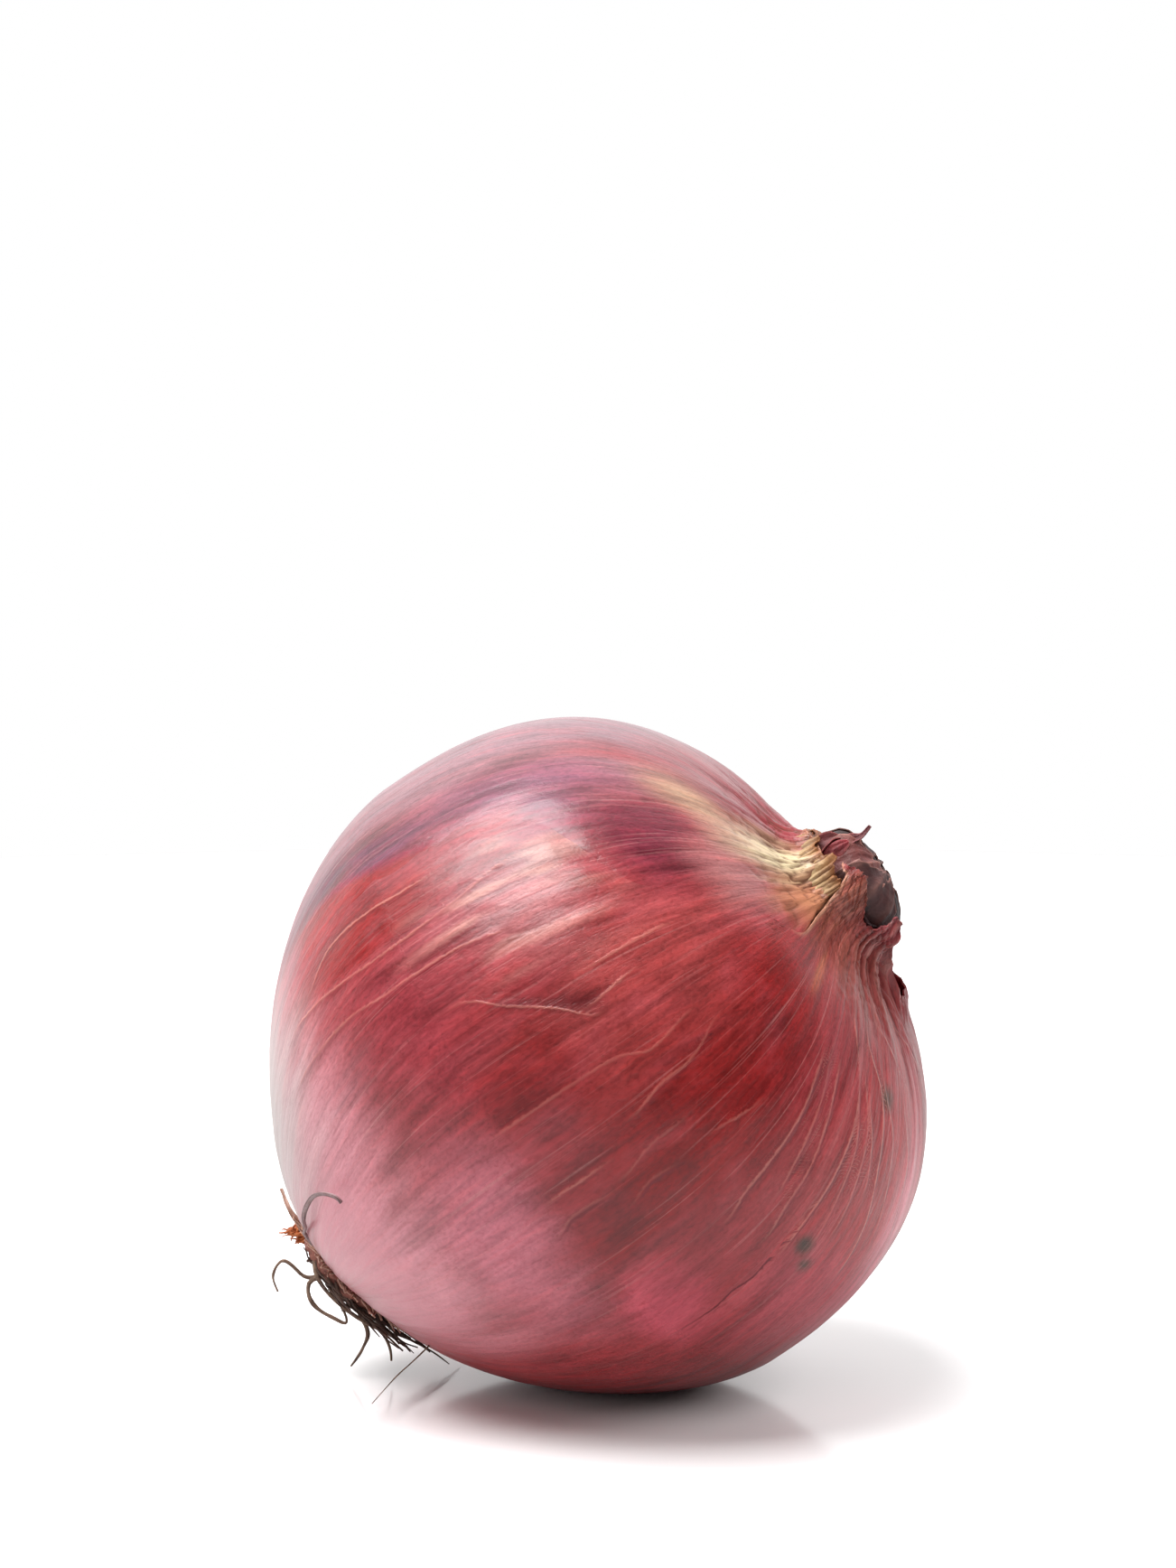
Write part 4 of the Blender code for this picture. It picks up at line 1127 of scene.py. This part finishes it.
# %% [markdown]
# ## Onion scale
# Under its cuticle a scale shows pigment in blotches, bands and streaks, pale and dark
# veins along the growth, dark flecks, and the grain of its cells. Each pattern is noise on
# the growth lines, stretched to its own size in mm. The real cells are about a tenth of a
# mm wide, too fine to show, so the grain is drawn about four times as coarse. Layers lay
# the patterns over the paint one by one, and the streaks and the grain also raise the
# surface a little.

# %% Patterns along the growth lines
PATTERNS = {
    # mm across and along the growth lines
    "blotch": (5.0, 9.0), "band": (2.2, 15.0), "streak": (1.0, 8.0), "vein": (0.5, 26.0),
    "dark_vein": (0.6, 18.0), "grain": (0.45, 0.7), "fleck": (0.5, 0.55),
}
LAYERS = (
    # pattern, from, to, strength, blend, colour
    ("blotch", 0.48, 0.72, 0.30, "MULTIPLY", "#904048"),
    ("blotch", 0.50, 0.28, 0.20, "MIX", "#c4606a"),
    ("band", 0.45, 0.70, 0.35, "MULTIPLY", "#7a2a38"),
    ("streak", 0.50, 0.72, 0.45, "SOFT_LIGHT", "#f0c8c4"),
    ("streak", 0.50, 0.28, 0.40, "SOFT_LIGHT", "#3a0a12"),
    ("vein", 0.60, 0.75, 0.22, "MIX", "#dca09c"),
    ("dark_vein", 0.60, 0.75, 0.25, "MIX", "#5a1a24"),
    ("grain", 0.50, 0.75, 0.38, "SOFT_LIGHT", "#f4d8d8"),
    ("grain", 0.50, 0.25, 0.38, "SOFT_LIGHT", "#300a12"),
    ("fleck", 0.72, 0.77, 0.60, "MIX", "#3e1c20"),
)
print(len(PATTERNS), "patterns in", len(LAYERS), "layers")

# %% Lay the patterns over the paint
def patterned(tree, colour, streaky):
    """The paint with every layer of pattern over it, and the patterns themselves."""
    grain = add(tree, "Attribute", attribute_name="grain").outputs["Vector"]
    found = {}
    for shift, (label, (across, along)) in enumerate(PATTERNS.items()):
        scale = (1 / across, 1 / across, 1 / along)
        place = add(tree, "Mapping", {"Vector": grain, "Location": (shift, 2 * shift, 3 * shift),
                                      "Scale": scale}).outputs[0]
        found[label] = add(tree, "TexNoise", {"Vector": place, "Scale": 1.0, "Detail": 3.0,
                                              "Roughness": 0.55, "Distortion": 0.4}).outputs[0]
    for label, start, end, strength, kind, code in LAYERS:
        over = add(tree, "MapRange", {"Value": found[label], "From Min": start, "From Max": end,
                                      "To Min": 0.0, "To Max": strength}).outputs[0]
        over = add(tree, "Math", {0: over, 1: streaky}, operation="MULTIPLY").outputs[0]
        colour = add(tree, "Mix", {0: over, 6: colour, 7: rgba(code)}, data_type="RGBA",
                     blend_type=kind).outputs[2]
    return colour, found


print("finest pattern:", min(PATTERNS, key=lambda label: PATTERNS[label][0]))

# %% The thin lines of the long folds
FOLD_LINES = (
    # which strength in the attribute, distance and half width in mm, strength, colour
    (1, 0.0, 0.28, 0.6, "#dc8a7c"),
    # the dark line at each fold's foot is painted shade
    (2, 0.42, 0.34, 0.8, "#6a1622"),
)


def fold_lines(tree, colour, height, found):
    """A pale crest and a dark foot of painted shade along each long fold, a little ragged, coming
    and going.
    """
    folds = add(tree, "Attribute", attribute_name="folds").outputs["Vector"]
    parts = add(tree, "SeparateXYZ", {0: folds}).outputs
    ragged = add(tree, "Math", {0: found["grain"], 1: 0.5, 2: parts[0]},
                 operation="MULTIPLY_ADD").outputs[0]
    away = add(tree, "Math", {0: ragged, 1: 0.25}, operation="SUBTRACT").outputs[0]
    fade = add(tree, "MapRange", {"Value": found["blotch"], "From Min": 0.3, "From Max": 0.55,
                                  "To Min": 0.35, "To Max": 1.0}).outputs[0]
    for part, middle, width, strength, code in FOLD_LINES:
        off = add(tree, "Math", {0: away, 1: middle}, operation="SUBTRACT").outputs[0]
        off = add(tree, "Math", {0: off}, operation="ABSOLUTE").outputs[0]
        line = add(tree, "MapRange", {"Value": off, "From Min": 0.0, "From Max": width,
                                      "To Min": strength, "To Max": 0.0},
                   interpolation_type="SMOOTHSTEP").outputs[0]
        for strength_here in (fade, parts[part]):
            line = add(tree, "Math", {0: line, 1: strength_here}, operation="MULTIPLY").outputs[0]
        colour = add(tree, "Mix", {0: line, 6: colour, 7: rgba(code)}, data_type="RGBA").outputs[2]
        if middle == 0.0:
            height = add(tree, "Math", {0: line, 1: 0.9, 2: height},
                         operation="MULTIPLY_ADD").outputs[0]
    return colour, height


print(len(FOLD_LINES), "lines along each fold")

# %% Moist scale and dry coat
def onion_scale(name, roughness, wax, wax_roughness, rib_height, has_folds):
    """Scale skin: a waxy cuticle over pigment and veins, with ribs of a height in mm."""
    material, tree = new_material(name)
    paint = add(tree, "Attribute", attribute_name="tint").outputs
    colour, found = patterned(tree, paint["Color"], paint["Alpha"])
    height = add(tree, "Math", {0: found["grain"], 1: 0.5, 2: found["streak"]},
                 operation="MULTIPLY_ADD").outputs[0]
    if has_folds:
        colour, height = fold_lines(tree, colour, height, found)
    bump = add(tree, "Bump", {"Strength": 0.8, "Distance": rib_height * MM,
                              "Height": height}).outputs[0]
    rough = add(tree, "MapRange", {"Value": found["streak"], "From Min": 0.3, "From Max": 0.7,
                                   "To Min": roughness - 0.08,
                                   "To Max": roughness + 0.1}).outputs[0]
    shader = add(tree, "BsdfPrincipled", {"Base Color": colour, "Roughness": rough,
                                          "Normal": bump, "IOR": 1.4, "Coat Weight": wax,
                                          "Coat Roughness": wax_roughness})
    add(tree, "OutputMaterial", {"Surface": shader.outputs[0]})
    return material


# moist flesh under a thin cuticle: a soft broad gloss with a sharper one over it
moist_scale = onion_scale("moist_onion_scale", 0.36, 0.28, 0.22, 0.12, False)
# the same scale dried to a papery skin: a duller gloss, broken up by ribs and folds
dry_scale = onion_scale("dry_onion_scale", 0.40, 0.25, 0.24, 0.14, True)
bulb.data.materials.append(moist_scale)
coat.data.materials.append(dry_scale)
print("skins:", moist_scale.name, dry_scale.name)

# %% [markdown]
# ## Dry plant fibre
# Dead leaves, the dry plate and the roots are all the same stuff: fibre that has lost its
# water, mottled light and dark and lightly ribbed. It scatters light and has almost no
# gloss, so a rough dielectric does for all of them. Only its colours, the size of its
# mottling and the depth of its ribs differ.

# %% One recipe for dry fibre
def dry_fibre(name, light, dark, share, roughness, size, depth):
    """Dry plant fibre: mottled by lumps of a size in mm, ribbed to a depth in mm."""
    material, tree = new_material(name)
    place = add(tree, "TexCoord").outputs["Object"]
    lumps = add(tree, "TexNoise", {"Vector": place, "Scale": 1000.0 / size, "Detail": 5.0,
                                   "Roughness": 0.65}).outputs[0]
    fine = add(tree, "TexNoise", {"Vector": place, "Scale": 4000.0 / size, "Detail": 3.0,
                                  "Roughness": 0.6}).outputs[0]
    if light == "paint":
        base = add(tree, "Attribute", attribute_name="tint").outputs["Color"]
    else:
        base = rgba(light)
    over = add(tree, "MapRange", {"Value": lumps, "From Min": 0.4, "From Max": 0.65,
                                  "To Min": 0.0, "To Max": share}).outputs[0]
    colour = add(tree, "Mix", {0: over, 6: base, 7: rgba(dark)}, data_type="RGBA").outputs[2]
    height = add(tree, "Math", {0: lumps, 1: fine}, operation="ADD").outputs[0]
    bump = add(tree, "Bump", {"Strength": 0.7, "Distance": depth * MM,
                              "Height": height}).outputs[0]
    shader = add(tree, "BsdfPrincipled", {"Base Color": colour, "Roughness": roughness,
                                          "Normal": bump, "IOR": 1.45})
    add(tree, "OutputMaterial", {"Surface": shader.outputs[0]})
    return material


print("recipe for dry fibre is ready")

# %% Dead leaves, plate, roots and shreds
FIBRES = (
    # pieces, then name, light colour or the piece's own paint, dark colour, share of dark,
    # roughness, size of the lumps and depth of the ribs in mm
    # leaves that died and folded over: nearly black, with a faint leathery sheen
    ([hood] + leaf_ends, "dead_leaf_fibre", "paint", "#241818", 0.5, 0.6, 1.6, 0.12),
    # sheath that dried in the air: pale, papery, satin
    ([frill] + shreds, "dry_sheath_paper", "paint", "#6a4028", 0.45, 0.55, 1.2, 0.1),
    # corky stem: dull, with the deepest relief
    ([plate], "root_plate_wood", "paint", "#3a1a14", 0.6, 0.75, 0.9, 0.2),
    # long roots, bleached by light: greyish brown, matt
    ([long_roots], "dry_root_fibre", "#8a705e", "#3a2620", 0.75, 0.75, 1.0, 0.1),
    # short roots that stayed in the shade: darker, matt
    ([small_roots], "dark_root_fibre", "#5e463c", "#241614", 0.7, 0.75, 1.0, 0.1),
    # torn ends of skin: bleached to a pinkish buff, slightly smoother
    ([fringe], "torn_skin_fibre", "#d4a894", "#7a4438", 0.55, 0.65, 0.9, 0.1),
    # a young knot of fibres: still orange
    ([knot], "orange_root_fibre", "#c4703e", "#7a3422", 0.6, 0.7, 0.8, 0.1),
)
for pieces, *finish in FIBRES:
    fibre = dry_fibre(*finish)
    for piece in pieces:
        piece.data.materials.append(fibre)
print("fibres:", [name for _, name, *_ in FIBRES])

# %% [markdown]
# ## Put each piece on the body
# Each piece rides on the only body. Each imported solid has finer pieces that stand for it.

# %% Ride and replace
ROLES = (
    ("bulb", "inner_skin", [bulb, frill]),
    ("outer_skin", "outer_skin", [coat]),
    ("neck_sheath", "dead_leaf", [hood] + leaf_ends),
    ("root_tuft", "dry_root", [plate, long_roots, small_roots, fringe, knot] + shreds),
)
for node_name, slot, pieces in ROLES:
    for piece in pieces:
        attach(piece, "root")
        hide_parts(node_name)
print("pieces:", sum(len(pieces) for _, _, pieces in ROLES))

# %% [markdown]
# ## Floor
# The onion lies on a pale glossy panel that mirrors it faintly. The panel is a disc. Its
# rim doesn't show, because panel and world are both pure white to the camera.

# %% Floor
def white_gloss():
    """White acrylic sheet, polished: it is overexposed where the camera sees it."""
    material, tree = new_material("white_gloss_panel")
    seen = add(tree, "LightPath").outputs["Is Camera Ray"]
    white = add(tree, "Mix", {0: seen, 6: rgba("#c8c8c8"), 7: (1.0, 1.0, 1.0, 1.0)},
                data_type="RGBA").outputs[2]
    shader = add(tree, "BsdfPrincipled", {"Base Color": white, "Roughness": 0.12,
                                          "Specular IOR Level": 0.4})
    add(tree, "OutputMaterial", {"Surface": shader.outputs[0]})
    return material


FLOOR_RADIUS = 0.5
bm = bmesh.new()
bmesh.ops.create_circle(bm, cap_ends=True, segments=96, radius=FLOOR_RADIUS)
floor_mesh = bpy.data.meshes.new("floor")
bm.to_mesh(floor_mesh)
bm.free()
floor = bpy.data.objects.new("floor", floor_mesh)
bpy.context.scene.collection.objects.link(floor)
floor.data.materials.append(white_gloss())
print("floor is a disc", 2 * FLOOR_RADIUS, "m across")

# %% [markdown]
# ## Light
# The studio is white all round. A white world fills every reflection, brightest behind the
# onion and darker toward the camera, and a wide soft box overhead draws the broad highlight
# on the shoulder. Two fills only lift the shadows, so they stay out of the reflections.

# %% Soft boxes
def soft_box(name, place, target, size, power, gloss):
    """A square lamp that faces a target; without gloss it shows in no reflection."""
    light = bpy.data.lights.new(name, "AREA")
    light.shape = "SQUARE"
    light.size = size
    light.energy = power
    lamp = bpy.data.objects.new(name, light)
    lamp.location = place
    lamp.rotation_euler = (Vector(target) - Vector(place)).to_track_quat("-Z", "Y").to_euler()
    lamp.visible_glossy = gloss
    bpy.context.scene.collection.objects.link(lamp)
    return lamp


soft_box("overhead_box", (-0.44, -0.10, 1.18), (0.0, 0.0, 0.04), 0.86, 28.0, True)
soft_box("front_fill", (-0.7, -1.2, 0.6), (0.0, 0.0, 0.03), 0.9, 4.0, False)
soft_box("right_fill", (1.0, -0.4, 0.9), (0.0, 0.0, 0.03), 0.9, 10.0, False)
print(len(bpy.data.lights), "lamps")

# %% White world
def white_studio():
    """White behind, beside and below, darker toward the camera; pure white where it is seen."""
    world = bpy.data.worlds.new("white_studio")
    world.use_nodes = True
    tree = world.node_tree
    tree.nodes.clear()
    way = add(tree, "TexCoord").outputs["Generated"]
    parts = add(tree, "SeparateXYZ", {0: way}).outputs
    behind = add(tree, "MapRange", {"Value": parts["Y"], "From Min": 0.0, "From Max": 0.6,
                                    "To Min": 0.08, "To Max": 1.2}).outputs[0]
    left = add(tree, "MapRange", {"Value": parts["X"], "From Min": -0.35, "From Max": -0.95,
                                  "To Min": 0.0, "To Max": 0.12}).outputs[0]
    right = add(tree, "MapRange", {"Value": parts["X"], "From Min": 0.4, "From Max": 0.95,
                                   "To Min": 1.0, "To Max": 0.45}).outputs[0]
    both = add(tree, "Math", {0: behind, 1: right, 2: left}, operation="MULTIPLY_ADD").outputs[0]
    seen = add(tree, "LightPath").outputs["Is Camera Ray"]
    strength = add(tree, "Mix", {0: seen, 2: both, 3: 1.0}, data_type="FLOAT").outputs[0]
    sky = add(tree, "Background", {"Color": (1.0, 1.0, 1.0, 1.0), "Strength": strength})
    add(tree, "OutputWorld", {"Surface": sky.outputs[0]})
    return world


bpy.context.scene.world = white_studio()
print("world:", bpy.context.scene.world.name)

# %% [markdown]
# ## Camera
# The camera stands half a metre away, a little above the onion, and looks slightly down.
# From so far the round form isn't stretched, and a long lens fills the picture with it.

# %% Camera
camera_data = bpy.data.cameras.new("camera")
camera_data.lens = 100.0
camera_data.sensor_fit = "VERTICAL"
camera_data.sensor_height = 36.0
camera_data.clip_start = 0.01
camera = bpy.data.objects.new("camera", camera_data)
camera.location = (-0.003233, -0.49630, 0.12483)
camera.rotation_euler = Vector((0.0, 0.99398, -0.10960)).to_track_quat("-Z", "Y").to_euler()
bpy.context.scene.collection.objects.link(camera)
bpy.context.scene.camera = camera
bpy.context.scene.view_settings.view_transform = "Standard"
print("camera at", [round(x, 3) for x in camera.location])
